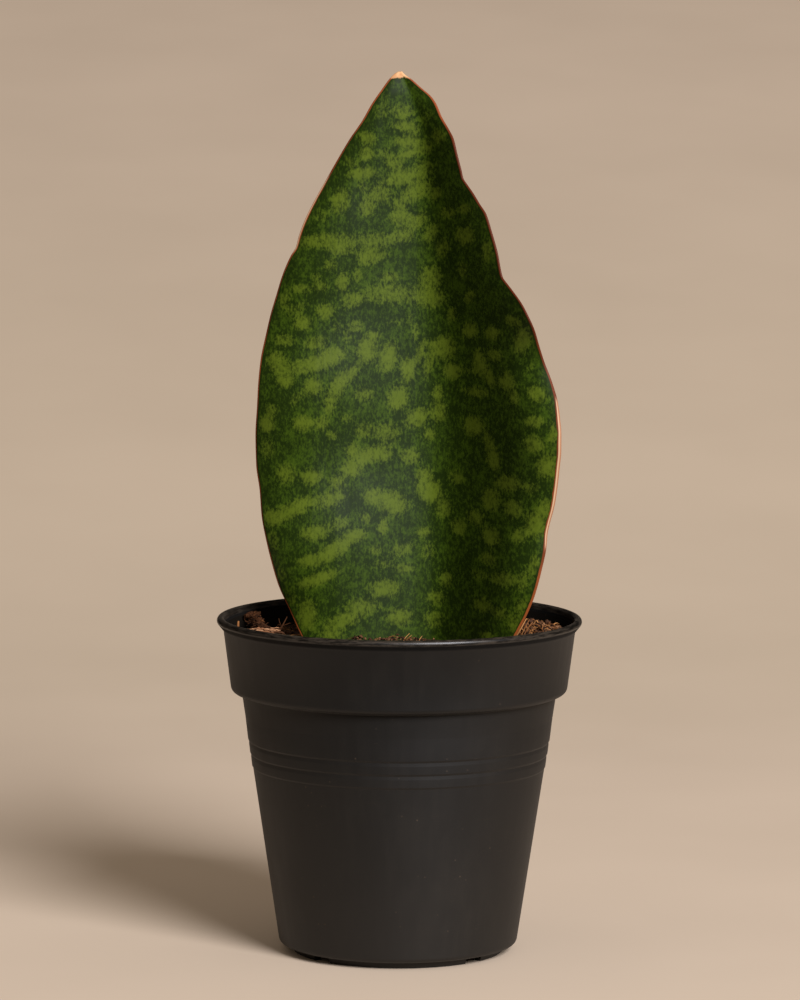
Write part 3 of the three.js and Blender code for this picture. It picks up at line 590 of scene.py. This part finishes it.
def leaf_skin():
    """Waxy leaf: fuzzy light blotches on dark green, a plain border, a horny red margin, a dry tip."""
    s = Shader("leaf_skin")
    patches = s.noise((130, 39, 130), 2)
    fuzz = s.noise((420, 126, 336), 3, 0.65)
    grains = s.noise((1150, 345, 632.5), 2, 0.7)
    height = s.axis(2)
    upper = s.band(height, UPPER_LEAF)
    haze = s.sum((1.1, patches), (1.5, fuzz), (2.4, grains), (1, -2.25))
    blotch = s.sum(
        (1.6, s.attribute("light")), (0.4, patches), (1.4, fuzz), (2.3, grains), (-0.1, upper), (1, -2.74)
    )

    margin = s.attribute("margin")
    border = s.span(s.math("ADD", margin, fuzz), 0.9, 2.4)
    haze = s.times(s.span(haze, -0.1, 0.85), border)
    blotch = s.times(s.span(blotch, -0.3, 1.1), border)

    dark = s.mix(s.noise((60, 18, 60), 3), (23, 36, 4), (29, 43, 6))
    ground = s.mix(haze, dark, (51, 70, 9))
    light = s.mix(s.noise((300, 90, 300), 3), (69, 84, 14), (84, 98, 24))
    green = s.mix(blotch, ground, light)

    horn = s.attribute("horn")
    ragged = s.pushed(s.math("DIVIDE", margin, horn), fuzz, 0.8)
    along = s.noise((5, 5, 24), 3)
    rust = s.mix(s.span(along, 0.4, 0.62), (84, 36, 16), (132, 66, 34))
    reach = s.sum((0.9, horn), (-1, margin), (1, -0.4))
    pale = s.times(s.span(horn, 0.6, 0.75), s.span(reach, -0.1, 0.1))
    cream = s.mix(s.span(margin, -0.1, 0.1), (158, 108, 78), (196, 158, 124))
    rust = s.mix(s.band(height, RUSTY_FOOT, 1, 0), rust, (150, 80, 38))
    edge = s.mix(pale, rust, cream)
    colour = s.mix(s.span(ragged, 0.85, 1.15, 1, 0), green, edge)

    dry = s.span(s.pushed(s.attribute("tip"), fuzz, 3.0), 2.0, 2.8, 1, 0)
    colour = s.mix(dry, colour, s.mix(fuzz, (168, 96, 52), (226, 190, 140)))

    veins = s.noise((900, 200, 22), 3, 0.6)
    ridges = s.noise((210, 60, 6), 2)
    relief = s.sum((0.5, veins), (0.35, fuzz))
    s.set(
        Base_Color=colour,
        Roughness=s.sum((0.14, fuzz), (0.1, veins), (0.2, dry), (1, 0.34)),
        Normal=s.bump(relief, 0.00015, 0.4, s.bump(ridges, 0.0006, 0.4)),
        Specular_IOR_Level=0.125,
    )
    return s.material


def mix_earth():
    """Dark moist peat with browner and blacker patches."""
    s = Shader("potting_mix")
    patch = s.noise(240, 5, 0.65)
    grit = s.noise(1400, 3, 0.7)
    tone = s.sum((0.6, patch), (0.4, grit))
    s.set(
        Base_Color=s.mix(s.span(tone, 0.38, 0.62), (26, 17, 11), (84, 56, 36)),
        Roughness=s.span(grit, 0.2, 0.8, 0.8, 0.98),
        Normal=s.bump(grit, 0.0006, 0.9, s.bump(patch, 0.0015, 0.8)),
        Specular_IOR_Level=0.15,
    )
    return s.material


def litter(name, dark, middle, pale, grain):
    """Plant waste whose pieces differ in tone: grain is its fibre, in repeats per metre."""
    s = Shader(name)
    tone = s.attribute("tone")
    streak = s.noise(grain, 4, 0.6)
    shade = s.sum((0.75, tone), (0.5, streak), (1, -0.12))
    lower = s.mix(s.span(shade, 0.1, 0.55), dark, middle)
    s.set(
        Base_Color=s.mix(s.span(shade, 0.5, 1.0), lower, pale),
        Roughness=s.span(streak, 0.2, 0.8, 0.7, 0.95),
        Normal=s.bump(streak, 0.0004, 0.8),
        Specular_IOR_Level=0.12,
    )
    return s.material


def rhizome_skin():
    """Tan skin of the underground stem, with darker scale rings."""
    s = Shader("rhizome_skin")
    rings = s.noise((420, 40, 40), 3)
    spots = s.noise(500, 4)
    tone = s.sum((0.6, rings), (0.4, spots))
    s.set(
        Base_Color=s.mix(s.span(tone, 0.35, 0.65), (120, 70, 34), (214, 160, 96)),
        Roughness=s.span(spots, 0.2, 0.8, 0.5, 0.75),
        Normal=s.bump(tone, 0.0005, 0.6),
    )
    return s.material


# ---- Pot ----

def body_radius(z):
    return BODY_FOOT_RADIUS + BODY_TAPER * z


def collar_radius(z):
    return COLLAR_RADIUS + COLLAR_TAPER * (z - COLLAR_Z)


def inner_radius(z):
    if z > COLLAR_Z:
        return collar_radius(z) - WALL
    return body_radius(min(z, STEP_Z)) - WALL


def rounded(corners):
    """A polyline of (r, z, fillet radius) corners with each corner turned into an arc."""
    line = []
    for i, (r, z, fillet) in enumerate(corners):
        here = Vector((r, z))
        if fillet == 0 or i in (0, len(corners) - 1):
            line.append(here)
            continue
        back = Vector(corners[i - 1][:2]) - here
        ahead = Vector(corners[i + 1][:2]) - here
        half = back.angle(ahead) / 2
        longest = FILLET_SHARE * min(back.length, ahead.length)
        reach = min(fillet / math.tan(half), longest)
        start = here + back.normalized() * reach
        end = here + ahead.normalized() * reach
        for k in range(FILLET_STEPS + 1):
            t = k / FILLET_STEPS
            line.append(start * (1 - t) ** 2 + here * (2 * t * (1 - t)) + end * t * t)
    return line


def ring_corners(z):
    """One of the rings, from its lower lip up."""
    top = z + RING_LENGTH
    return [
        (body_radius(z), z, 0.5),
        (body_radius(z) + RING_PROUD, z + RING_LIP, 0.6),
        (body_radius(top) + RING_PROUD * 0.5, top, 3),
    ]


def wall_corners():
    """The outside of the pot from under its floor to the root of the rim."""
    draft_outside, draft_inside = FOOT_DRAFT
    corners = [
        (0, FOOT_HEIGHT, 0),
        (FOOT_INNER - draft_inside, FOOT_HEIGHT, 0.5),
        (FOOT_INNER, 0, 0.3),
        (FOOT_OUTER, 0, 0.4),
        (FOOT_OUTER + draft_outside, FOOT_HEIGHT + FOOT_RISE, 0.3),
        (body_radius(BASE_CORNER_Z), BASE_CORNER_Z, 5),
    ]
    for z in RING_HEIGHTS:
        corners += ring_corners(z)
    return corners + [
        (body_radius(RING_CLEAR_Z), RING_CLEAR_Z, 6),
        (body_radius(STEP_Z), STEP_Z, 0.9),
        (STEP_CORNER_RADIUS, STEP_Z + STEP_CORNER_RISE, 4.5),
        (collar_radius(COLLAR_TOP_Z), COLLAR_TOP_Z, 0),
    ]


def bead():
    """The rolled rim, from its underside over the top to the inside."""
    first, last = (math.radians(angle) for angle in BEAD_ANGLES)
    arc = []
    for k in range(BEAD_STEPS + 1):
        angle = first + (last - first) * k / BEAD_STEPS
        arc.append(Vector((
            BEAD_CENTRE[0] + BEAD_RADIUS * math.cos(angle),
            BEAD_CENTRE[1] + BEAD_RADIUS * math.sin(angle),
        )))
    return arc


def inside_corners():
    """The inside of the pot from the rim down to the middle of its floor."""
    base_radius = inner_radius(BASE_INSIDE_Z)
    return [
        (inner_radius(RIM_UNDERSIDE), RIM_UNDERSIDE, 0),
        (inner_radius(COLLAR_Z + 1), COLLAR_Z + 1, 1.5),
        (*STEP_INSIDE, 2),
        (inner_radius(STEP_Z), STEP_Z, 1.2),
        (base_radius, BASE_INSIDE_Z, 3),
        (base_radius - BASE_INSIDE_STEP, BASE_TOP, 2.5),
        (0, BASE_TOP, 0),
    ]


def revolve(profile, sides):
    """Points and faces of a profile turned about the Z axis; ends on the axis become poles."""
    points, faces, rows = [], [], []
    for point in profile:
        if point.x < 1e-6:
            rows.append([len(points)] * sides)
            points.append((0, 0, point.y))
            continue
        rows.append(list(range(len(points), len(points) + sides)))
        for j in range(sides):
            angle = 2 * math.pi * j / sides
            points.append((point.x * math.cos(angle), point.x * math.sin(angle), point.y))
    for low, high in zip(rows, rows[1:]):
        for j in range(sides):
            k = (j + 1) % sides
            faces.append(tuple(dict.fromkeys((low[j], low[k], high[k], high[j]))))
    return points, faces


def cut(obj, cutter):
    """Cuts a solid out of obj and removes it."""
    modifier = obj.modifiers.new("cut", "BOOLEAN")
    modifier.operation = "DIFFERENCE"
    modifier.solver = "EXACT"
    modifier.object = cutter
    bpy.context.view_layer.update()
    evaluated = obj.evaluated_get(bpy.context.evaluated_depsgraph_get())
    mesh = bpy.data.meshes.new_from_object(evaluated)
    obj.modifiers.clear()
    obj.data = mesh
    bpy.data.objects.remove(cutter)
    return mesh


def pot_holes():
    """A cutter for the notches in the foot ring and the drain holes."""
    holes = Batch()
    past_inside, past_outside = NOTCH_OVERRUN
    for i in range(NOTCH_COUNT):
        turn = Matrix.Rotation(2 * math.pi * (i + 0.5) / NOTCH_COUNT, 3, "Z")
        box = [
            turn @ Vector((x, y, z))
            for x in (FOOT_INNER - past_inside, FOOT_OUTER + past_outside)
            for y in (-NOTCH_WIDTH / 2, NOTCH_WIDTH / 2)
            for z in (-NOTCH_BELOW, FOOT_HEIGHT - NOTCH_ROOF)
        ]
        holes.add(box, BOX_FACES, 0)
    for i in range(DRAIN_COUNT + 1):
        angle = 2 * math.pi * (i + 0.5) / DRAIN_COUNT
        circle = DRAIN_CIRCLE if i < DRAIN_COUNT else 0
        ends = [Vector((circle * math.cos(angle), circle * math.sin(angle), z)) for z in DRAIN_CUT]
        holes.add(*tube(ends, [DRAIN_RADIUS] * 2, DRAIN_SIDES), 0)
    mesh = bpy.data.meshes.new("cutter")
    mesh.from_pydata([Vector(p) * MM for p in holes.points], [], holes.faces)
    return new_object("cutter", mesh)


def make_pot(material):
    profile = rounded(wall_corners()) + bead() + rounded(inside_corners())
    points, faces = revolve(profile, POT_SIDES)
    pot = make_object("pot_shell", points, faces, material)
    mesh = cut(pot, pot_holes())
    mesh.shade_smooth()
    mesh.set_sharp_from_angle(angle=math.radians(SHARP_ANGLE))
    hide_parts("pot")


# ---- Leaf ----

margin_line = {-1: smooth_table(LEFT_MARGIN), 1: smooth_table(RIGHT_MARGIN)}
fold_line, lean_line, core_line = map(smooth_table, (LEAF_FOLD, LEAF_LEAN, LEAF_CORE))
leaf_turn, wing_rise = map(smooth_table, (LEAF_TURN, WING_RISE))
flare_line = {-1: smooth_table(LEFT_FLARE), 1: smooth_table(RIGHT_FLARE)}
left_horn, right_horn = map(smooth_table, (LEFT_HORN, RIGHT_HORN))


def wing_turn(side, z, share):
    """How far a wing is turned from the plane across the view; side is -1 or 1, share an array."""
    start = FLARE_START[side]
    beyond = np.maximum(0, (share - start) / (1 - start))
    rise = wing_rise(z) * share / np.hypot(share, FOLD_SHARE) - flare_line[side](z) * beyond ** 2
    return np.radians(rise + side * leaf_turn(z))


def wing_points(side, z):
    """The middle surface of a wing at a height, from the fold to the margin, and its width."""
    turn = wing_turn(side, z, (WING_SHARES[1:] + WING_SHARES[:-1]) / 2)
    across = np.concatenate(([0], np.cumsum(np.cos(turn)))) / WING_STEPS
    forward = np.concatenate(([0], np.cumsum(np.sin(turn)))) / WING_STEPS
    fold = fold_line(z)
    width = (abs(margin_line[side](z) - fold) - LEAF_EDGE / 2) / across[-1]
    wave = WAVE_SHARE * width * math.sin(2 * math.pi * z / WAVE_LENGTH + WAVE_PHASE[side])
    x = fold + side * across * width
    y = lean_line(z) - forward * width + wave * WING_SHARES ** 2
    return np.stack([x, y], axis=1), width


def leaf_row(z):
    """The whole section at a height from the left margin to the right."""
    left, left_width = wing_points(-1, z)
    right, right_width = wing_points(1, z)
    points = np.concatenate([left[::-1], right[1:]])
    shares = np.concatenate([-WING_SHARES[::-1], WING_SHARES[1:]])
    return points, shares, left_width, right_width


def end_cap(tip, outward, front):
    """Points round a margin from the front to the back."""
    angles = np.linspace(math.pi / 2, -math.pi / 2, EDGE_STEPS + 2)[1:-1]
    return [tip + (outward * math.cos(a) + front * math.sin(a)) * (LEAF_EDGE / 2) for a in angles]


def blotch_field(x, z):
    """How far each place lies in the light blotches, 0 to 1."""
    dark = np.ones(len(x))
    for centre_x, centre_z, length, width, strength, *slant in BLOTCHES:
        tilt = math.radians(slant[0] if slant else 0)
        cos, sin = math.cos(tilt), math.sin(tilt)
        along = ((x - centre_x) * cos + (z - centre_z) * sin) / (length * BLOTCH_SPREAD)
        across = ((z - centre_z) * cos - (x - centre_x) * sin) / (width * BLOTCH_SPREAD)
        dark *= 1 - strength * np.exp(-0.7 * (along ** 2 + across ** 2) ** 1.5)
    return 1 - dark


def ripple(x, z):
    """Shallow folds that run up the leaf."""
    return RIPPLE_DEPTH * noise.noise(Vector((x * 0.12, 3, z * 0.05)))


def leaf_ring(z):
    """The outline of the leaf at a height, and for each point its margin and horn values."""
    row, shares, left_width, right_width = leaf_row(z)
    ahead = np.gradient(row, axis=0)
    ahead /= np.linalg.norm(ahead, axis=1)[:, None]
    front = np.stack([ahead[:, 1], -ahead[:, 0]], axis=1)
    half = (LEAF_EDGE + (core_line(z) - LEAF_EDGE) * (1 - shares ** 2)) / 2
    folds = np.array([ripple(x, z) for x in row[:, 0]])
    near = row + front * (half + folds)[:, None]
    far = row - front * (half - folds)[:, None]
    right_end = end_cap(row[-1], ahead[-1], front[-1])
    left_end = end_cap(row[0], -ahead[0], front[0])[::-1]
    ring = [(x, y, z) for x, y in [*near, *right_end, *far[::-1], *left_end]]
    inset = np.where(shares < 0, (1 + shares) * left_width, (1 - shares) * right_width)
    inset = list(np.minimum(inset, MARGIN_LIMIT))
    cap = [-LEAF_EDGE / 2] * EDGE_STEPS
    margins = inset + cap + inset[::-1] + cap
    left, right = left_horn(z), right_horn(z)
    horn = list(np.where(shares < 0, left, right))
    horns = horn + [right] * EDGE_STEPS + horn[::-1] + [left] * EDGE_STEPS
    return ring, margins, horns


def leaf_faces(rows):
    """Faces between the leaf's outlines, and over its lower and upper ends."""
    count = 2 * WING_STEPS + 1
    size = 2 * (count + EDGE_STEPS)
    faces = []
    for i in range(rows - 1):
        for j in range(size):
            a, b = i * size + j, i * size + (j + 1) % size
            faces.append((a, b, b + size, a + size))
    for base, flip in ((0, False), ((rows - 1) * size, True)):
        for j in range(count - 1):
            low, high = base + j, base + count + EDGE_STEPS + (count - 1 - j)
            face = (low, high, high - 1, low + 1)
            faces.append(face[::-1] if flip else face)
        for first in (count - 1, size - EDGE_STEPS - 1):
            fan = [base + (first + k) % size for k in range(EDGE_STEPS + 2)]
            faces.append(tuple(fan) if flip else tuple(reversed(fan)))
    return faces


def make_leaf(material):
    points, margins, horns, tips = [], [], [], []
    share = np.linspace(0, 1, LEAF_STEPS)
    heights = LEAF_LOW + (LEAF_TOP - LEAF_LOW) * (1 - (1 - share) ** LEAF_CROWDING)
    for z in heights:
        ring, ring_margins, ring_horns = leaf_ring(z)
        points += ring
        margins += ring_margins
        horns += ring_horns
        tips += [float(heights[-1] - z)] * len(ring)
    x, _, z = np.array(points).T
    attributes = {"margin": margins, "horn": horns, "tip": tips, "light": blotch_field(x, z)}
    faces = leaf_faces(LEAF_STEPS)
    leaf = make_object("leaf_blade", points, faces, material, attributes)
    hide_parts("leaf")


LEAF_FOOT_LINE = leaf_row(SOIL_LEVEL + LEAF_CLEAR_RISE)[0]


def clear_of_leaf(x, y, reach):
    """True where a crumb of that reach on the mix doesn't cut through the leaf."""
    apart = np.hypot(LEAF_FOOT_LINE[:, 0] - x, LEAF_FOOT_LINE[:, 1] - y).min()
    return apart > reach + LEAF_CLEARANCE


# ---- Potting mix ----

def make_soil(material):
    """The mix that fills the pot, with a flat top at SOIL_LEVEL."""
    profile = rounded([
        (0, BASE_TOP + GAP, 0),
        (inner_radius(BASE_INSIDE_Z) - SOIL_FOOT_STEP, BASE_TOP + GAP, 2.5),
        (inner_radius(BASE_INSIDE_Z) - GAP, BASE_INSIDE_Z, 2),
        (inner_radius(STEP_Z) - GAP, STEP_Z, 1),
        (*SOIL_STEP, 1.5),
        (inner_radius(COLLAR_Z + SOIL_COLLAR_RISE) - GAP, COLLAR_Z + SOIL_COLLAR_RISE, 1),
        (inner_radius(SOIL_WALL_TOP) - GAP, SOIL_WALL_TOP, 0),
    ])
    for i in range(SOIL_RINGS):
        profile.append(Vector((SOIL_REACH * (1 - i / SOIL_RINGS) ** RING_CROWDING, SOIL_LEVEL)))
    profile.append(Vector((0, SOIL_LEVEL)))
    points, faces = revolve(profile, SOIL_SIDES)
    soil = make_object("potting_mix", points, faces, material)
    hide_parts("soil")


# ---- Crumbs and fibres ----

def litter_height(x, y):
    """The height that crumbs and fibres lie at. It is uneven, and the flat mix doesn't follow it."""
    height = SOIL_LEVEL
    for centre_x, centre_y, rise, spread_x, spread_y in LITTER_RISES:
        height += rise * math.exp(-((x - centre_x) ** 2 / spread_x + (y - centre_y) ** 2 / spread_y))
    height += 0.6 * math.sin(x * 0.31 + 1) * math.cos(y * 0.27) + 0.4 * math.sin(x * 0.7 + y * 0.6)
    clods = noise.fractal(Vector((x * 0.16, y * 0.16, 4)), 1.0, 2.1, 3)
    grit = noise.fractal(Vector((x * 0.55, y * 0.55, 9)), 0.8, 2.2, 3)
    return height + clods + 0.45 * grit


def scatter(draw, count):
    """Even random places on the mix."""
    for _ in range(count):
        radius = SOIL_REACH * math.sqrt(draw.random())
        angle = draw.random() * 2 * math.pi
        yield radius * math.cos(angle), radius * math.sin(angle)


def make_crumbs(material):
    draw = random.Random(11)
    crumbs = Batch()

    def drop(x, y, size, lift, divisions):
        if math.hypot(x, y) + size > SOIL_REACH or not clear_of_leaf(x, y, size):
            return
        if size > BIG_CRUMB and math.hypot(x, y) < MIDDLE_REACH:
            size *= MIDDLE_SHRINK
        centre = (x, y, litter_height(x, y) + lift * size)
        shape = (size, size * draw.uniform(0.4, 0.9), size * draw.uniform(0.3, 0.75))
        crumbs.add(*lump(centre, shape, draw, divisions, CRUMB_ROUGH), draw.random())

    for x, y in scatter(draw, CRUMB_COUNT):
        drop(x, y, 0.5 + 1.2 * draw.random() ** 2.6, 0.25, 2)
    for x, y in scatter(draw, GRAIN_COUNT):
        drop(x, y, 0.3 + 0.5 * draw.random(), 0.3, 1)
    for x, y, spread_x, spread_y, count, sizes, lift in PILES:
        for _ in range(count):
            drop(draw.gauss(x, spread_x), draw.gauss(y, spread_y), draw.uniform(*sizes), lift, 2)
    crumbs.build("peat_crumbs", material)


def strand(draw, start, heading, length, lift, curl):
    """A fibre's centre line: it leaves start, bends sideways and lifts or dips."""
    path = []
    place = Vector(start)
    stride = length / FIBRE_STEPS
    for i in range(FIBRE_STEPS + 1):
        path.append(place)
        heading += curl * draw.uniform(-0.4, 1.0)
        bow = lift * math.cos(math.pi * i / FIBRE_STEPS) / FIBRE_STEPS
        rise = bow + draw.uniform(-0.05, 0.05)
        place = place + Vector((math.cos(heading) * stride, math.sin(heading) * stride, rise))
    return path


def make_fibres(material):
    draw = random.Random(23)
    fibres = Batch()

    def lay(x, y, ranges):
        length, lift, thick = (draw.uniform(*pair) for pair in ranges)
        turn = draw.random() * 2 * math.pi
        curl = draw.uniform(-0.12, 0.12)
        start = (x, y, litter_height(x, y) - 0.3)
        path = strand(draw, start, turn, length, lift, curl)
        end = path[-1]
        crosses = any(not clear_of_leaf(p.x, p.y, thick) for p in path)
        if crosses or math.hypot(end.x, end.y) > SOIL_REACH or math.hypot(x, y) > SOIL_REACH:
            return
        for p in path:
            p.z = max(p.z, litter_height(p.x, p.y) - 0.1)
        radii = [thick * (1 - FIBRE_TAPER * i / FIBRE_STEPS) for i in range(FIBRE_STEPS + 1)]
        fibres.add(*tube(path, radii, 5), draw.random())

    for x, y in scatter(draw, FIBRE_COUNT):
        lay(x, y, FIBRE_RANGES)
    for x, y, spread_x, spread_y, count, ranges in TUFTS:
        for _ in range(count):
            lay(draw.gauss(x, spread_x), draw.gauss(y, spread_y), ranges)
    for *path, thick, tone in STICKS:
        fibres.add_twig(path, thick, 0.6, 6, tone)
    fibres.build("coir_fibres", material)


# ---- Bark and wood ----

def bark_place(share):
    """A place on the line that the bark's lumps stand on, counted in lumps."""
    return Vector([foot + step * share for foot, step in zip(BARK_FOOT, BARK_STEP)])


def add_bark_crumbs(bark, draw):
    for _ in range(BARK_CRUMBS):
        centre = bark_place(draw.random() * 2.2)
        centre += Vector((draw.uniform(-2.6, 2.6), draw.uniform(-3, 1), draw.uniform(-1, 2.6)))
        size = draw.uniform(0.35, 1.0)
        shape = (size, size * 0.7, size * 0.6)
        bark.add(*lump(centre, shape, draw, 2, CRUMB_ROUGH), 0.8 * draw.random())


def add_bark_fibres(bark, draw):
    foot_x, foot_y, foot_z = BARK_FOOT
    step_x, step_y, step_z = BARK_STEP
    for _ in range(BARK_FIBRES):
        share = draw.uniform(-3.2, 2.2)
        foot = Vector((
            foot_x + step_x * share,
            foot_y + step_y * min(share, 0.5),
            foot_z - COIR_SINK + step_z * max(share, -0.4),
        ))
        foot += Vector((draw.uniform(-2.4, 2.4), draw.uniform(-3.5, 0.5), draw.uniform(-1.5, 2)))
        reach = Vector((draw.uniform(-1, 1), draw.uniform(-1, 0.2), draw.uniform(-0.2, 1)))
        end = foot + reach.normalized() * draw.uniform(1, 3.4)
        if math.hypot(end.x, end.y) > SOIL_REACH:
            continue
        bend = foot.lerp(end, 0.5) + Vector((0, 0, draw.uniform(-0.4, 0.5)))
        bark.add_twig([foot, bend, end], draw.uniform(0.07, 0.2), 0.4, 4, 0.7 * draw.random())


def make_bark(material):
    """The lump of bark that leans up the wall at the left back, its fibres and a forked twig."""
    draw = random.Random(5)
    bark = Batch()
    for i in range(BARK_LUMPS):
        bark.add(*lump(bark_place(i), BARK_LUMP, draw, 4, 0.8), 0.3 + 0.1 * i)
    add_bark_crumbs(bark, draw)
    add_bark_fibres(bark, draw)
    for *path, thick in TWIGS:
        bark.add_twig(path, thick, 0.5, 6, TWIG_TONE)
    piece = bark.build("bark_lump", material)
    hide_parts("bark_chip")


def make_splinter(material):
    """The frayed splinter: short broken slivers end to end, side by side, parting at the ends."""
    draw = random.Random(9)
    slivers = Batch()
    for i in range(SLIVER_COUNT):
        side = Vector((0, draw.uniform(-1.6, 1.6), draw.uniform(-0.5, 0.9)))
        first = draw.uniform(0, 0.72)
        last = min(first + draw.uniform(0.2, 0.5), 1)
        tip = SPLINTER_ENDS[i % len(SPLINTER_ENDS)]
        start = SPLINTER_ROOT.lerp(tip, first) + side
        end = SPLINTER_ROOT.lerp(tip, last) + side * 1.2
        path = []
        for k in range(SLIVER_STEPS + 1):
            wobble = Vector((0, draw.uniform(-0.2, 0.2), draw.uniform(-0.22, 0.22)))
            share = first + (last - first) * k / SLIVER_STEPS
            arch = Vector((0, 0, SPLINTER_ARCH * math.sin(math.pi * share)))
            path.append(start.lerp(end, k / SLIVER_STEPS) + arch + wobble)
        thick = draw.uniform(0.2, 0.6)
        radii = [thick * draw.uniform(0.55, 1.1) for _ in range(SLIVER_STEPS)] + [thick * 0.25]
        slivers.add(*tube(path, radii, 6), draw.random())
    piece = slivers.build("splinter_slivers", material)
    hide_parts("wood_splinter")


# ---- Stage ----

def backdrop_material():
    """Warm grey paper, with painted shade: a little darker where it bends up."""
    s = Shader("backdrop")
    mottled = s.noise(6, 3)
    back = s.axis(1)
    # painted shade where the backdrop bends up
    bend = s.times(s.span(back, *SHADE_START), s.span(back, *SHADE_END, 1, 0))
    near = s.mix(mottled, (198, 179, 157), (204, 185, 163))
    s.set(
        Base_Color=s.mix(bend, near, s.mix(mottled, (189, 171, 148), (195, 177, 154))),
        Roughness=s.span(mottled, 0.3, 0.7, 0.85, 0.95),
    )
    return s.material


def make_stage():
    """A floor that bends up behind the pot and runs on as a gentle slope."""
    turn = math.radians(STAGE_TURN)
    line = [Vector((STAGE_FRONT, 0))]
    for k in range(STAGE_STEPS + 1):
        angle = turn * k / STAGE_STEPS
        y = STAGE_BEND + STAGE_RADIUS * math.sin(angle)
        line.append(Vector((y, STAGE_RADIUS * (1 - math.cos(angle)))))
    line.append(line[-1] + STAGE_SLOPE * Vector((math.cos(turn), math.sin(turn))))
    points, faces = [], []
    for y, z in line:
        points += [(-STAGE_HALF, y, z), (STAGE_HALF, y, z)]
    for i in range(len(line) - 1):
        faces.append((2 * i, 2 * i + 1, 2 * i + 3, 2 * i + 2))
    mesh = bpy.data.meshes.new("backdrop")
    mesh.from_pydata(points, [], faces)
    mesh.shade_smooth()
    mesh.materials.append(backdrop_material())
    obj = new_object("backdrop", mesh)


def make_key():
    """One large soft light from the right, in front and above."""
    light = bpy.data.lights.new("key", "AREA")
    light.shape = "DISK"
    light.size = 2.75
    light.energy = 590
    light.color = (0.953, 0.95, 1)
    key = new_object("key", light)
    key.location = KEY_PLACE
    key.rotation_euler = (KEY_TARGET - KEY_PLACE).to_track_quat("-Z", "Y").to_euler()


def make_sky():
    world = bpy.data.worlds.new("studio")
    world.use_nodes = True
    background = world.node_tree.nodes["Background"]
    background.inputs["Color"].default_value = (1, 0.87, 0.74, 1)
    background.inputs["Strength"].default_value = 0.35
    world.cycles_visibility.glossy = False
    bpy.context.scene.world = world


def make_camera():
    data = bpy.data.cameras.new("camera")
    data.sensor_width = 36
    data.lens = CAMERA_LENS
    data.clip_start = 0.05
    data.clip_end = 50
    tilt = Matrix.Rotation(math.pi / 2 - CAMERA_PITCH, 4, "X")
    roll = Matrix.Rotation(CAMERA_ROLL, 4, "Z")
    camera = new_object("camera", data)
    camera.matrix_world = Matrix.Translation(CAMERA_PLACE) @ tilt @ roll
    bpy.context.scene.camera = camera


# ---- Assembly ----

make_camera()
make_key()
make_sky()
make_stage()
bpy.context.scene.view_settings.view_transform = "Standard"

coir = litter("coir", (34, 19, 9), (118, 74, 40), (180, 128, 76), (300, 300, 300))
make_pot(pot_plastic())
make_leaf(leaf_skin())
make_soil(mix_earth())
make_crumbs(litter("crumbs", (24, 15, 10), (66, 42, 27), (130, 92, 62), (700, 700, 700)))
make_fibres(coir)
make_bark(litter("bark", (20, 11, 5), (66, 38, 18), (112, 70, 36), (250, 900, 900)))
make_splinter(litter("pale_wood", (52, 30, 16), (136, 92, 62), (190, 146, 108), (160, 1200, 1200)))

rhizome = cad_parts["rhizome"]
rhizome.data.materials.clear()
rhizome.data.materials.append(rhizome_skin())
